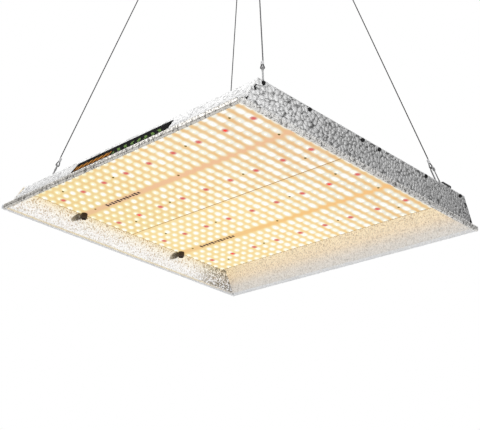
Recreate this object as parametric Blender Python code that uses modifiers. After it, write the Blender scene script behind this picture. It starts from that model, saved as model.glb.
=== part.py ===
"""LED grow light: a hammered aluminium reflector hood with two LED boards, a driver,
a dimmer and four steel hanging wires gathered on one snap hook.

Frame: metres, +Z up.  The origin is the centre of the open rim, so the rim stands on z = 0,
the LEDs face -Z and the long side of the hood lies along X.
"""
import math

import bmesh
import bpy
from mathutils import Matrix, Vector

MM = 0.001
GAP = 0.3 * MM                      # clearance left between pieces that touch

# Hood: one folded pan (top and two sloped walls) closed by two upright end plates.
HOOD_LENGTH = 490 * MM
HOOD_WIDTH = 460 * MM
HOOD_HEIGHT = 44.6 * MM
SHEET = 1.2 * MM
LIP_OUT = 4.5 * MM                  # how far the folded lip stands out from the opening
LIP_UP = 7.0 * MM
WALL_INSET = 24.4 * MM              # how far the sloped walls lean in towards the top
PAN_FLANGE = 5.5 * MM               # folded-down ends of the pan that take the end plates
PAN_RELIEF = 4 * MM                 # where each end flange stops short of the sloped walls

HALF_SHEET = SHEET / 2
OPENING_X = HOOD_LENGTH / 2 - LIP_OUT
OPENING_Y = HOOD_WIDTH / 2 - LIP_OUT
TOP_Y = OPENING_Y - WALL_INSET
PAN_END = OPENING_X - GAP
END_PLATE_FACE = OPENING_X + SHEET

# Label on the front wall.
LABEL_LENGTH = 198 * MM
LABEL_WIDTH = 20.5 * MM
LABEL_THICKNESS = 0.4 * MM
LABEL_X = 1.5 * MM
LABEL_PLACE = 30.3 * MM             # its middle, measured up the wall

# Screws along the top edge of each end plate.
END_SCREW_Y = [side * y for side in (-1, 1) for y in (193 * MM, 114.5 * MM, 16.3 * MM)]
END_SCREW_DROP = 3.2 * MM
SCREW_SHANK = 1.45 * MM
SCREW_HEAD = 2.8 * MM
SCREW_HEAD_HEIGHT = 1.8 * MM
CUTTER_REACH = 3 * MM               # how far a drill passes a sheet on each side

# LED boards on one heat spreader under the pan.
BOARD_LENGTH = 446.0 * MM
BOARD_WIDTH = 194.5 * MM
BOARD_CENTRE_X = -16.5 * MM
BOARD_CENTRE_Y = 97.7 * MM
BOARD_THICKNESS = 1.6 * MM
SPREADER_THICKNESS = 4.1 * MM
SPREADER_TOP = HOOD_HEIGHT - SHEET - GAP
BOARD_TOP = SPREADER_TOP - SPREADER_THICKNESS - GAP
BOARD_FACE = BOARD_TOP - BOARD_THICKNESS
SPREADER_START_X = -238.0 * MM
SPREADER_END_X = BOARD_CENTRE_X + BOARD_LENGTH / 2

# Cable glands through hood, spreader and board.
GLAND_X = -233.5 * MM
GLAND_SLEEVE = 2.9 * MM
GLAND_SLEEVE_IN_NUT = 7.5 * MM      # how far the sleeve reaches below the board
GLAND_COLLAR = 5.2 * MM
GLAND_COLLAR_HEIGHT = 3 * MM
GLAND_DOME = 4.6 * MM
GLAND_DOME_HEIGHT = 11 * MM
GLAND_NUT = 4.9 * MM
GLAND_NUT_HEIGHT = 9.0 * MM
GLAND_CHAMFER = 1.2 * MM
DC_CABLE = 2.0 * MM
DC_CABLE_BEND = 11 * MM
DC_CABLE_RISE = 24 * MM             # height of the cable above the hood beside its gland

# Driver on top of the hood.
TOP_REST = HOOD_HEIGHT + GAP
DRIVER_LENGTH = 220 * MM
DRIVER_WIDTH = 62 * MM
DRIVER_HEIGHT = 32 * MM
DRIVER_WALL = 2.5 * MM
DRIVER_FIN = 1.8 * MM
CAP_THICKNESS = 4 * MM
FOOT_LENGTH = 14 * MM
FOOT_THICKNESS = 2.5 * MM
FOOT_SCREW_Y = 22 * MM
CABLE_EXIT_Y = 15 * MM
CABLE_EXIT_Z = TOP_REST + 15 * MM
CIRCUIT_BOARD = Vector((200 * MM, 48 * MM, 1.6 * MM))
CIRCUIT_LIFT = 3 * MM               # space under the circuit board
SOLDERED = 0.5 * MM                 # how deep each part sits in the circuit board
TRANSFORMER = Vector((40 * MM, 30 * MM, 18 * MM))
CHOKE = Vector((20 * MM, 20 * MM, 14 * MM))
CHOKE_X = 46 * MM
CAPACITOR_RADIUS = 7 * MM
CAPACITOR_HEIGHT = 17 * MM
CAPACITOR_PLACES = ((-45 * MM, 12 * MM), (-45 * MM, -12 * MM), (72 * MM, 0))

# Mains cord, coiled on the hood, with its plug.
CORD = 3.8 * MM
COIL_CENTRE = Vector((30 * MM, 112 * MM, TOP_REST + CORD + GAP))
COIL_RADIUS = 58 * MM
COIL_TURNS = 3
COIL_PITCH = 8.8 * MM
PLUG_BODY = Vector((26 * MM, 26 * MM, 22 * MM))
PLUG_SLEEVE = 14 * MM
PLUG_OVERLAP = 2 * MM               # how far sleeve and pins run into the plug's body
PLUG_BLADE = Vector((1.6 * MM, 16 * MM, 6 * MM))
PLUG_BLADE_X = 6.35 * MM
PLUG_BLADE_RISE = 2 * MM
PLUG_EARTH = 2.4 * MM
PLUG_EARTH_LENGTH = 19 * MM
PLUG_EARTH_DROP = 6 * MM
PLUG_TAIL = Vector((130 * MM, 130 * MM, TOP_REST + PLUG_BODY.z / 2))
TIE_WIDTH = 14 * MM
TIE_THICKNESS = 1 * MM
TIE_CLEARANCE = 1.2 * MM            # room for the bend of the coil inside the flat tie

# Dimmer near one corner of the hood.
DIMMER_X = 214 * MM
DIMMER_Y = 191 * MM
DIMMER_BOX = Vector((16 * MM, 20 * MM, 20 * MM))
DIMMER_WALL = 1.5 * MM
DIMMER_SHAFT = 3.0 * MM
SHAFT_IN_BOX = 3.2 * MM             # how far the shaft reaches into the potentiometer
POTENTIOMETER = Vector((10 * MM, 12 * MM, 5 * MM))
KNOB_RADIUS = 8 * MM
KNOB_HEIGHT = 8 * MM
KNOB_BORE = 5.3 * MM
KNOB_GROOVE = 0.7 * MM
DIMMER_CABLE = 2.0 * MM
CABLE_HOLE_OFFSET = 3 * MM          # left of the middle of the box's front face

# Hanging gear: eyes on the hood, wire snap hooks, steel wires, one snap hook at the top.
EYE_X = 222 * MM
EYE_Y = 174.4 * MM
EYE_RING = 5.2 * MM
EYE_WIRE = 1.6 * MM
EYE_HEIGHT = HOOD_HEIGHT + 9.5 * MM
EYE_SHANK = 2.2 * MM
EYE_FOOT = 6 * MM
EYE_FOOT_THICKNESS = 1.8 * MM
EYE_NECK = 5.5 * MM                 # height of the neck above the hood
WIRE = 0.8 * MM
WIRE_STRAND = 0.95 * MM             # half the distance between the two strands in a ferrule
LOOP_WRAP = math.radians(102)       # half of the round part of an end loop
LOWER_LOOP = {"radius": 2.35 * MM, "length": 8 * MM, "ferrule": 6 * MM, "half_width": 2.0 * MM}
UPPER_LOOP = {"radius": 4.2 * MM, "length": 20 * MM, "ferrule": 9 * MM, "half_width": 2.4 * MM}
FERRULE_DEPTH = 1.4 * MM
GATHER_POINT = Vector((-13 * MM, -38 * MM, 806 * MM))
LOOP_PLACES = {1: 1.9 * MM, -1: 4.6 * MM}   # right and left wires' distance from the top hook's middle
FORK_SLOT = 0.73                    # half the slot in a hook's forked end, in wire radii

SMALL_HOOK = {"length": 30 * MM, "half_width": 4 * MM, "corner": 3.9 * MM, "wire": 1.1 * MM}
TOP_HOOK = {"length": 62 * MM, "half_width": 11 * MM, "corner": 5 * MM, "wire": 2.2 * MM}

CORNERS = {
    "front_left": (-1, -1),
    "front_right": (1, -1),
    "rear_left": (-1, 1),
    "rear_right": (1, 1),
}
# How far each eye and its snap hook are turned about their wire, from lying level across it.
HOOK_TURNS = {
    (-1, -1): math.radians(32),
    (1, -1): math.radians(72),
    (-1, 1): math.radians(94),
    (1, 1): math.radians(14),
}

PARTS = bpy.data.collections.new("led_grow_light")


# ---------------------------------------------------------------- materials

def material(name, colour, roughness, metallic):
    """A Principled material with one colour."""
    made = bpy.data.materials.new(name)
    made.use_nodes = True
    shader = made.node_tree.nodes["Principled BSDF"]
    shader.inputs["Base Color"].default_value = (*colour, 1)
    shader.inputs["Roughness"].default_value = roughness
    shader.inputs["Metallic"].default_value = metallic
    made.diffuse_color = (*colour, 1)
    return made


HAMMERED_ALUMINIUM = material("hammered_aluminium", (0.80, 0.81, 0.82), 0.30, 1.0)
PLAIN_ALUMINIUM = material("plain_aluminium", (0.70, 0.71, 0.72), 0.40, 1.0)
BOARD_WHITE = material("board_white", (0.95, 0.86, 0.76), 0.50, 0.0)
BLACK_STEEL = material("black_steel", (0.02, 0.02, 0.02), 0.35, 0.7)
BLACK_PLASTIC = material("black_plastic", (0.02, 0.02, 0.02), 0.50, 0.0)
BLACK_RUBBER = material("black_rubber", (0.03, 0.03, 0.03), 0.80, 0.0)
DRIVER_BLACK = material("driver_black", (0.04, 0.04, 0.045), 0.45, 0.4)
CIRCUIT_GREEN = material("circuit_green", (0.02, 0.18, 0.07), 0.50, 0.0)
BRIGHT_STEEL = material("bright_steel", (0.62, 0.62, 0.63), 0.25, 1.0)
WIRE_STEEL = material("wire_steel", (0.42, 0.42, 0.43), 0.40, 1.0)
LABEL_BLACK = material("label_black", (0.015, 0.015, 0.015), 0.30, 0.0)


# ---------------------------------------------------------------- modelling helpers

def add_object(name, mesh, look):
    """Link a new object that shows the mesh."""
    made = bpy.data.objects.new(name, mesh)
    PARTS.objects.link(made)
    mesh.materials.clear()
    mesh.materials.append(look)
    return made


def finish_mesh(name, shape, look):
    """Turn a bmesh into an object and free the bmesh."""
    bmesh.ops.recalc_face_normals(shape, faces=shape.faces[:])
    mesh = bpy.data.meshes.new(name)
    shape.to_mesh(mesh)
    shape.free()
    return add_object(name, mesh, look)


def bake(target):
    """Replace the object's mesh by its evaluated mesh and drop the modifiers."""
    bpy.context.view_layer.update()
    graph = bpy.context.evaluated_depsgraph_get()
    mesh = bpy.data.meshes.new_from_object(target.evaluated_get(graph))
    target.modifiers.clear()
    target.data = mesh
    return target


def combine(target, tool, operation):
    """Boolean the tool into the target, and remove the tool."""
    modifier = target.modifiers.new(operation.lower(), "BOOLEAN")
    modifier.operation = operation
    modifier.object = tool
    bake(target)
    bpy.data.objects.remove(tool)
    return target


def join_to(target, *tools):
    for tool in tools:
        combine(target, tool, "UNION")
    return target


def cut_from(target, *tools):
    for tool in tools:
        combine(target, tool, "DIFFERENCE")
    return target


def bevel(target, width, segments=2):
    """Round the sharp edges of a piece."""
    modifier = target.modifiers.new("bevel", "BEVEL")
    modifier.width = width
    modifier.segments = segments
    modifier.limit_method = "ANGLE"
    modifier.angle_limit = math.radians(40)
    return bake(target)


def shade_round(target, angle=35):
    target.data.shade_smooth()
    target.data.set_sharp_from_angle(angle=math.radians(angle))
    return target


def block(name, low, high, look):
    """A box between two corners."""
    low = Vector(low)
    size = Vector(high) - low
    shape = bmesh.new()
    bmesh.ops.create_cube(shape, size=1)
    bmesh.ops.scale(shape, vec=size, verts=shape.verts)
    bmesh.ops.translate(shape, vec=low + size / 2, verts=shape.verts)
    return finish_mesh(name, shape, look)


def rod(name, start, end, radius, look, segments=12):
    """A cylinder between two points."""
    start = Vector(start)
    axis = Vector(end) - start
    shape = bmesh.new()
    bmesh.ops.create_cone(
        shape, cap_ends=True, segments=segments, radius1=radius, radius2=radius, depth=axis.length
    )
    turn = axis.to_track_quat("Z", "Y").to_matrix().to_4x4()
    bmesh.ops.transform(shape, matrix=Matrix.Translation(start + axis / 2) @ turn, verts=shape.verts)
    return finish_mesh(name, shape, look)


def turned(name, profile, look, segments=16, closed=False):
    """Turn a profile of (radius, height) points, listed from the top down, about the Z axis."""
    mesh = bpy.data.meshes.new(name)
    points = [(radius, 0, height) for radius, height in profile]
    edges = [(i, i + 1) for i in range(len(points) - 1)]
    if closed:
        edges.append((len(points) - 1, 0))
    mesh.from_pydata(points, edges, [])
    made = add_object(name, mesh, look)
    modifier = made.modifiers.new("turn", "SCREW")
    modifier.steps = segments
    modifier.render_steps = segments
    modifier.use_merge_vertices = True
    modifier.merge_threshold = 0.00001
    return shade_round(bake(made))


def curve_to_mesh(name, curve, look):
    """Replace a curve by a closed mesh object."""
    source = bpy.data.objects.new(name + "_curve", curve)
    PARTS.objects.link(source)
    bpy.context.view_layer.update()
    graph = bpy.context.evaluated_depsgraph_get()
    mesh = bpy.data.meshes.new_from_object(source.evaluated_get(graph))
    bpy.data.objects.remove(source)
    shape = bmesh.new()
    shape.from_mesh(mesh)
    bmesh.ops.remove_doubles(shape, verts=shape.verts, dist=0.000001)
    return finish_mesh(name, shape, look)


def tube(name, path, radius, look, resolution=2):
    """A round wire or cable along a list of points."""
    curve = bpy.data.curves.new(name, "CURVE")
    curve.dimensions = "3D"
    curve.bevel_depth = radius
    curve.bevel_resolution = resolution
    curve.use_fill_caps = True
    spline = curve.splines.new("POLY")
    spline.points.add(len(path) - 1)
    for point, place in zip(spline.points, path):
        point.co = (*place, 1)
    return shade_round(curve_to_mesh(name, curve, look), 50)


def plate(name, outlines, low, high, look):
    """A flat piece from z = low to high; the first outline is its edge, the others are holes."""
    curve = bpy.data.curves.new(name, "CURVE")
    curve.dimensions = "2D"
    curve.fill_mode = "BOTH"
    curve.extrude = (high - low) / 2
    for outline in outlines:
        spline = curve.splines.new("POLY")
        spline.points.add(len(outline) - 1)
        spline.use_cyclic_u = True
        for point, (x, y) in zip(spline.points, outline):
            point.co = (x, y, 0, 1)
    made = curve_to_mesh(name, curve, look)
    made.data.transform(Matrix.Translation((0, 0, (low + high) / 2)))
    return made


def rectangle(x_low, x_high, y_low, y_high):
    return [(x_low, y_low), (x_high, y_low), (x_high, y_high), (x_low, y_high)]


def circle(x, y, radius, steps=12):
    angles = [2 * math.pi * i / steps for i in range(steps)]
    return [(x + radius * math.cos(a), y + radius * math.sin(a)) for a in angles]


def rounded_path(corners, radius, steps=4):
    """Points along a path whose inner corners are rounded by arcs of one radius."""
    corners = [Vector(corner) for corner in corners]
    path = [corners[0]]
    for before, corner, after in zip(corners, corners[1:], corners[2:]):
        back = (before - corner).normalized()
        ahead = (after - corner).normalized()
        half_angle = back.angle(ahead) / 2
        reach = radius / math.tan(half_angle)
        centre = corner + (back + ahead).normalized() * radius / math.sin(half_angle)
        start = corner + back * reach - centre
        end = corner + ahead * reach - centre
        sweep = start.angle(end)
        for i in range(steps + 1):
            first = math.sin(sweep * (1 - i / steps)) / math.sin(sweep)
            second = math.sin(sweep * i / steps) / math.sin(sweep)
            path.append(centre + start * first + end * second)
    path.append(corners[-1])
    return path


# ---------------------------------------------------------------- hood

def screw_holes_on_end(side, name):
    """Cutters for the screw holes of one end plate and of the pan flange behind it."""
    height = HOOD_HEIGHT - END_SCREW_DROP
    inner = side * (PAN_END - SHEET - CUTTER_REACH)
    outer = side * (END_PLATE_FACE + CUTTER_REACH)
    return [
        rod(f"{name}_{i}", (inner, y, height), (outer, y, height), SCREW_SHANK + GAP, PLAIN_ALUMINIUM, 8)
        for i, y in enumerate(END_SCREW_Y)
    ]


def drill_down(x, y, height, radius, segments=12):
    """A cutter for an upright hole through the top sheet."""
    reach = Vector((0, 0, CUTTER_REACH))
    middle = Vector((x, y, height))
    return rod("drill", middle - reach, middle + reach, radius, PLAIN_ALUMINIUM, segments)


def thicken(surface):
    """Give an open surface the thickness of the sheet, half to each side."""
    modifier = surface.modifiers.new("sheet", "SOLIDIFY")
    modifier.thickness = SHEET
    modifier.offset = 0
    modifier.use_even_offset = True
    return bake(surface)


def make_hood_pan():
    """Fold one sheet into lips, sloped walls and top, add the end flanges, then drill it."""
    top_z = HOOD_HEIGHT - HALF_SHEET
    half_profile = [
        (HOOD_WIDTH / 2 - HALF_SHEET, LIP_UP),
        (HOOD_WIDTH / 2 - HALF_SHEET, HALF_SHEET),
        (OPENING_Y + HALF_SHEET, HALF_SHEET),
        (TOP_Y, top_z),
    ]
    profile = [(-y, z) for y, z in half_profile] + [(y, z) for y, z in reversed(half_profile)]

    shape = bmesh.new()
    line = [shape.verts.new((-PAN_END, y, z)) for y, z in profile]
    edges = [shape.edges.new(pair) for pair in zip(line, line[1:])]
    swept = bmesh.ops.extrude_edge_only(shape, edges=edges)["geom"]
    for item in swept:
        if isinstance(item, bmesh.types.BMVert):
            item.co.x = PAN_END
    pan = thicken(finish_mesh("hood_pan", shape, HAMMERED_ALUMINIUM))
    flange_y = TOP_Y - PAN_RELIEF
    for side in (-1, 1):
        low_x, high_x = sorted((side * (PAN_END - SHEET), side * PAN_END))
        flange = block("flange", (low_x, -flange_y, HOOD_HEIGHT - PAN_FLANGE),
                       (high_x, flange_y, HOOD_HEIGHT - HALF_SHEET), HAMMERED_ALUMINIUM)
        join_to(pan, flange)

    holes = [drill_down(x * EYE_X, y * EYE_Y, top_z, EYE_SHANK + GAP) for x, y in CORNERS.values()]
    for side in (-1, 1):
        holes.append(drill_down(GLAND_X, side * BOARD_CENTRE_Y, top_z, GLAND_SLEEVE + GAP))
        holes += screw_holes_on_end(side, "pan_screw_hole")
        for y in (-FOOT_SCREW_Y, FOOT_SCREW_Y):
            holes.append(drill_down(side * foot_screw_x(), y, top_z, SCREW_SHANK + GAP, 8))
    return cut_from(pan, *holes)


def make_end_plate(name, side):
    """An upright trapezoid of sheet with a folded lip along its lower edge."""
    x = side * (OPENING_X + HALF_SHEET)
    slope = WALL_INSET / HOOD_HEIGHT
    cover = OPENING_Y + SHEET + 0.2 * MM
    half_outline = [
        (HOOD_WIDTH / 2, HALF_SHEET),
        (HOOD_WIDTH / 2, LIP_UP),
        (cover - slope * LIP_UP, LIP_UP),
        (cover - slope * HOOD_HEIGHT, HOOD_HEIGHT),
    ]
    outline = [(-y, z) for y, z in half_outline] + [(y, z) for y, z in reversed(half_outline)]

    shape = bmesh.new()
    ring = [shape.verts.new((x, y, z)) for y, z in outline]
    shape.faces.new(ring)
    lower_edge = shape.edges.get((ring[0], ring[-1]))
    flange = bmesh.ops.extrude_edge_only(shape, edges=[lower_edge])["geom"]
    for item in flange:
        if isinstance(item, bmesh.types.BMVert):
            item.co.x = side * (HOOD_LENGTH / 2 - HALF_SHEET)
    flange_edges = [
        item for item in flange
        if isinstance(item, bmesh.types.BMEdge)
        and all(abs(abs(v.co.x) - (HOOD_LENGTH / 2 - HALF_SHEET)) < GAP for v in item.verts)
    ]
    lip = bmesh.ops.extrude_edge_only(shape, edges=flange_edges)["geom"]
    for item in lip:
        if isinstance(item, bmesh.types.BMVert):
            item.co.z = LIP_UP
    made = thicken(finish_mesh(name, shape, HAMMERED_ALUMINIUM))
    return cut_from(made, *screw_holes_on_end(side, "plate_screw_hole"))


def make_pan_head_screw(name, shank_length, look):
    """A domed screw whose head seat lies at z = 0 and whose shank points down."""
    head = [(SCREW_HEAD * math.sin(a), SCREW_HEAD_HEIGHT * math.cos(a)) for a in (0, 0.8, math.pi / 2)]
    shank = [(SCREW_SHANK, 0), (SCREW_SHANK, -shank_length), (0, -shank_length)]
    return turned(name, head + shank, look, 10)


def make_end_screws(side, side_name):
    height = HOOD_HEIGHT - END_SCREW_DROP
    seat = END_PLATE_FACE + GAP
    shank_length = seat - (PAN_END - SHEET - 0.6 * MM)
    for i, y in enumerate(sorted(END_SCREW_Y), start=1):
        screw = make_pan_head_screw(f"end_plate_screw_{side_name}_{i}", shank_length, BLACK_STEEL)
        screw.location = (side * seat, y, height)
        screw.rotation_euler = (0, side * math.pi / 2, 0)


def make_label():
    """A thin printed plate on the front sloped wall."""
    wall_foot = Vector((0, -OPENING_Y - HALF_SHEET, HALF_SHEET))
    wall_head = Vector((0, -TOP_Y, HOOD_HEIGHT - HALF_SHEET))
    up = (wall_head - wall_foot).normalized()
    out = Vector((1, 0, 0)).cross(up)
    outline = rectangle(-LABEL_LENGTH / 2, LABEL_LENGTH / 2, -LABEL_WIDTH / 2, LABEL_WIDTH / 2)
    made = plate("label_plate", [outline], 0, LABEL_THICKNESS, LABEL_BLACK)
    made.location = wall_foot + up * LABEL_PLACE + out * (HALF_SHEET + GAP) + Vector((LABEL_X, 0, 0))
    made.rotation_euler = Matrix((Vector((1, 0, 0)), up, out)).transposed().to_euler()
    return made


# ---------------------------------------------------------------- light engine

def make_spreader():
    """One aluminium plate between the pan and both LED boards."""
    half_width = BOARD_CENTRE_Y + BOARD_WIDTH / 2
    outlines = [rectangle(SPREADER_START_X, SPREADER_END_X, -half_width, half_width)]
    for side in (-1, 1):
        outlines.append(circle(GLAND_X, side * BOARD_CENTRE_Y, GLAND_SLEEVE + GAP))
    low = SPREADER_TOP - SPREADER_THICKNESS
    return plate("heat_spreader", outlines, low, SPREADER_TOP, PLAIN_ALUMINIUM)


def make_led_board(name, side):
    start = BOARD_CENTRE_X - BOARD_LENGTH / 2
    centre = side * BOARD_CENTRE_Y
    outlines = [
        rectangle(start, start + BOARD_LENGTH, centre - BOARD_WIDTH / 2, centre + BOARD_WIDTH / 2),
        circle(GLAND_X, centre, GLAND_SLEEVE + GAP),
    ]
    return plate(name, outlines, BOARD_FACE, BOARD_TOP, BOARD_WHITE)


def make_gland(name, side):
    """The gland body: dome and collar above the hood, sleeve down through the board."""
    bore = DC_CABLE + GAP
    collar = TOP_REST + GLAND_COLLAR_HEIGHT
    dome = TOP_REST + GLAND_DOME_HEIGHT
    foot = BOARD_FACE - GLAND_SLEEVE_IN_NUT
    profile = [
        (bore, dome), (GLAND_DOME - GLAND_CHAMFER, dome), (GLAND_DOME, dome - 2 * GLAND_CHAMFER),
        (GLAND_DOME, collar), (GLAND_COLLAR, collar), (GLAND_COLLAR, TOP_REST),
        (GLAND_SLEEVE, TOP_REST), (GLAND_SLEEVE, foot), (bore, foot),
    ]
    made = turned(name, profile, BLACK_PLASTIC, closed=True)
    made.location = (GLAND_X, side * BOARD_CENTRE_Y, 0)
    return made


def make_gland_nut(name, side):
    """The lock nut that shows under the board."""
    bore = GLAND_SLEEVE + GAP
    seat = BOARD_FACE - GAP
    foot = seat - GLAND_NUT_HEIGHT
    profile = [
        (bore, seat), (GLAND_NUT, seat), (GLAND_NUT, foot + GLAND_CHAMFER), (GLAND_NUT - GLAND_CHAMFER, foot),
        (bore, foot),
    ]
    made = turned(name, profile, BLACK_PLASTIC, closed=True)
    made.location = (GLAND_X, side * BOARD_CENTRE_Y, 0)
    return made


def make_dc_cable(name, side):
    """From the driver's left cap, over the hood and down the gland to the board."""
    gland_y = side * BOARD_CENTRE_Y
    cap = -DRIVER_LENGTH / 2 - GAP
    rise = TOP_REST + DC_CABLE_RISE
    corners = [
        (cap + 6 * MM, side * CABLE_EXIT_Y, CABLE_EXIT_Z),
        (cap - 34 * MM, side * CABLE_EXIT_Y, CABLE_EXIT_Z),
        (GLAND_X + 28 * MM, gland_y - side * 20 * MM, rise),
        (GLAND_X, gland_y, rise),
        (GLAND_X, gland_y, BOARD_FACE - 6 * MM),
    ]
    return tube(name, rounded_path(corners, DC_CABLE_BEND), DC_CABLE, BLACK_RUBBER)


# ---------------------------------------------------------------- driver and cord

def foot_screw_x():
    return DRIVER_LENGTH / 2 + GAP + CAP_THICKNESS + FOOT_LENGTH / 2


def stand_along_x(made, x_low, x_high):
    """Turn a plate drawn in the XY plane so that its drawing faces +X and it spans x_low to x_high."""
    turn = Matrix(((0, 0, 1, 0), (1, 0, 0, 0), (0, 1, 0, 0), (0, 0, 0, 1)))
    made.data.transform(Matrix.Translation((x_low, 0, 0)) @ turn)
    return made


def finned_outline():
    """The driver's section: flat underside and fins along its sides and top."""
    half = DRIVER_WIDTH / 2
    low = TOP_REST
    high = TOP_REST + DRIVER_HEIGHT
    outline = [(-half, low), (half, low)]
    fin_count = 5
    step = DRIVER_HEIGHT / (2 * fin_count + 1)
    for i in range(fin_count):
        z = low + (2 * i + 1) * step
        outline += [(half, z), (half - DRIVER_FIN, z), (half - DRIVER_FIN, z + step), (half, z + step)]
    outline.append((half, high))
    top_fins = 8
    step = DRIVER_WIDTH / (2 * top_fins + 1)
    for i in range(top_fins):
        y = half - (2 * i + 1) * step
        outline += [(y, high), (y, high - DRIVER_FIN), (y - step, high - DRIVER_FIN), (y - step, high)]
    outline.append((-half, high))
    step = DRIVER_HEIGHT / (2 * fin_count + 1)
    for i in reversed(range(fin_count)):
        z = low + (2 * i + 1) * step
        outline += [(-half, z + step), (-half + DRIVER_FIN, z + step), (-half + DRIVER_FIN, z), (-half, z)]
    return outline


def make_driver_case():
    """An extruded finned tube, open at both ends."""
    inset = DRIVER_WALL + DRIVER_FIN
    hollow = rectangle(-DRIVER_WIDTH / 2 + inset, DRIVER_WIDTH / 2 - inset,
                       TOP_REST + DRIVER_WALL, TOP_REST + DRIVER_HEIGHT - inset)
    made = plate("driver_case", [finned_outline(), hollow], 0, DRIVER_LENGTH, DRIVER_BLACK)
    return stand_along_x(made, -DRIVER_LENGTH / 2, DRIVER_LENGTH / 2)


def make_driver_cap(name, side):
    """A cap with a screwed foot; the left one passes two DC cables, the right one mains and dimmer."""
    inner = DRIVER_LENGTH / 2 + GAP
    outer = inner + CAP_THICKNESS
    half = DRIVER_WIDTH / 2
    radii = {-1: (DC_CABLE, DC_CABLE), 1: (DIMMER_CABLE, CORD)}[side]
    outlines = [rectangle(-half, half, TOP_REST, TOP_REST + DRIVER_HEIGHT)]
    for y, radius in zip((-CABLE_EXIT_Y, CABLE_EXIT_Y), radii):
        outlines.append(circle(y, CABLE_EXIT_Z, radius + GAP))
    made = stand_along_x(plate(name, outlines, 0, CAP_THICKNESS, DRIVER_BLACK), inner, outer)
    foot = plate(
        name + "_foot",
        [rectangle(outer - 1 * MM, outer + FOOT_LENGTH, -half, half)]
        + [circle(foot_screw_x(), y, SCREW_SHANK + GAP, 8) for y in (-FOOT_SCREW_Y, FOOT_SCREW_Y)],
        TOP_REST, TOP_REST + FOOT_THICKNESS, DRIVER_BLACK,
    )
    join_to(made, foot)
    if side < 0:
        made.data.transform(Matrix.Scale(-1, 4, (1, 0, 0)))
        made.data.flip_normals()
    return made


def make_driver_screws():
    seat = TOP_REST + FOOT_THICKNESS + GAP
    shank_length = seat - (HOOD_HEIGHT - SHEET)
    places = [(x, y) for x in (-1, 1) for y in (-1, 1)]
    for i, (x, y) in enumerate(places, start=1):
        screw = make_pan_head_screw(f"driver_screw_{i}", shank_length, BLACK_STEEL)
        screw.location = (x * foot_screw_x(), y * FOOT_SCREW_Y, seat)


def standing_block(name, x, z, size):
    """A box of the driver's circuit, standing on height z with its middle at x."""
    low = Vector((x - size.x / 2, -size.y / 2, z))
    return block(name, low, low + size, CIRCUIT_GREEN)


def make_driver_circuit():
    """The circuit board with its transformer, capacitors and coil soldered on as one piece."""
    low = TOP_REST + DRIVER_WALL + CIRCUIT_LIFT
    made = standing_block("driver_circuit", 0, low, CIRCUIT_BOARD)
    seat = low + CIRCUIT_BOARD.z - SOLDERED
    transformer = standing_block("transformer", 0, seat, TRANSFORMER)
    choke = standing_block("choke", CHOKE_X, seat, CHOKE)
    capacitors = [
        rod("capacitor", (x, y, seat), (x, y, seat + CAPACITOR_HEIGHT), CAPACITOR_RADIUS, CIRCUIT_GREEN)
        for x, y in CAPACITOR_PLACES
    ]
    return join_to(made, transformer, choke, *capacitors)


def make_mains_cord():
    """From the driver's right cap into a coil of stacked turns, and out to the plug."""
    cap = DRIVER_LENGTH / 2 + GAP
    steps_per_turn = 20
    coil = []
    for i in range(COIL_TURNS * steps_per_turn + 1):
        angle = 2 * math.pi * i / steps_per_turn
        lift = COIL_PITCH * i / steps_per_turn
        coil.append(COIL_CENTRE + Vector((COIL_RADIUS * math.cos(angle), COIL_RADIUS * math.sin(angle), lift)))
    bend_x = cap + CAP_THICKNESS + 24 * MM
    lead_in = rounded_path([
        (cap - 4 * MM, CABLE_EXIT_Y, CABLE_EXIT_Z),
        (bend_x, CABLE_EXIT_Y, CABLE_EXIT_Z),
        (bend_x, CABLE_EXIT_Y + 30 * MM, COIL_CENTRE.z),
        coil[0] - Vector((0, 44 * MM, 0)),
        coil[0],
    ], 10 * MM)
    lead_out = rounded_path([
        coil[-1],
        coil[-1] + Vector((0, 40 * MM, 0)),
        PLUG_TAIL + Vector((0, 34 * MM, 8 * MM)),
        PLUG_TAIL + Vector((0, 12 * MM, 0)),
        PLUG_TAIL + Vector((0, GAP, 0)),
    ], 9 * MM)
    return tube("mains_cord", lead_in[:-1] + coil + lead_out[1:], CORD, BLACK_RUBBER, 1)


def make_mains_plug():
    """A moulded plug lying on the hood: sleeve, body, two blades and a round earth pin."""
    x, y, z = PLUG_TAIL
    body_start = y - PLUG_SLEEVE + PLUG_OVERLAP
    body_end = body_start - PLUG_BODY.y
    half = PLUG_BODY / 2
    profile = [(0, 0), (CORD + 1 * MM, 0), (CORD + 3 * MM, -PLUG_SLEEVE), (0, -PLUG_SLEEVE)]
    sleeve = turned("sleeve", profile, BLACK_RUBBER)
    sleeve.data.transform(Matrix.Translation(PLUG_TAIL) @ Matrix.Rotation(-math.pi / 2, 4, "X"))
    made = block("mains_plug", (x - half.x, body_end, z - half.z), (x + half.x, body_start, z + half.z),
                 BLACK_RUBBER)
    bevel(made, 3 * MM)
    blades = []
    for side in (-1, 1):
        middle = Vector((x + side * PLUG_BLADE_X, body_end, z + PLUG_BLADE_RISE))
        low = middle - Vector((PLUG_BLADE.x / 2, PLUG_BLADE.y, PLUG_BLADE.z / 2))
        high = middle + Vector((PLUG_BLADE.x / 2, PLUG_OVERLAP, PLUG_BLADE.z / 2))
        blades.append(block("blade", low, high, BLACK_RUBBER))
    earth_z = z - PLUG_EARTH_DROP
    earth = rod("earth", (x, body_end + PLUG_OVERLAP, earth_z), (x, body_end - PLUG_EARTH_LENGTH, earth_z),
                PLUG_EARTH, BLACK_RUBBER)
    return join_to(made, sleeve, *blades, earth)


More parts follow.
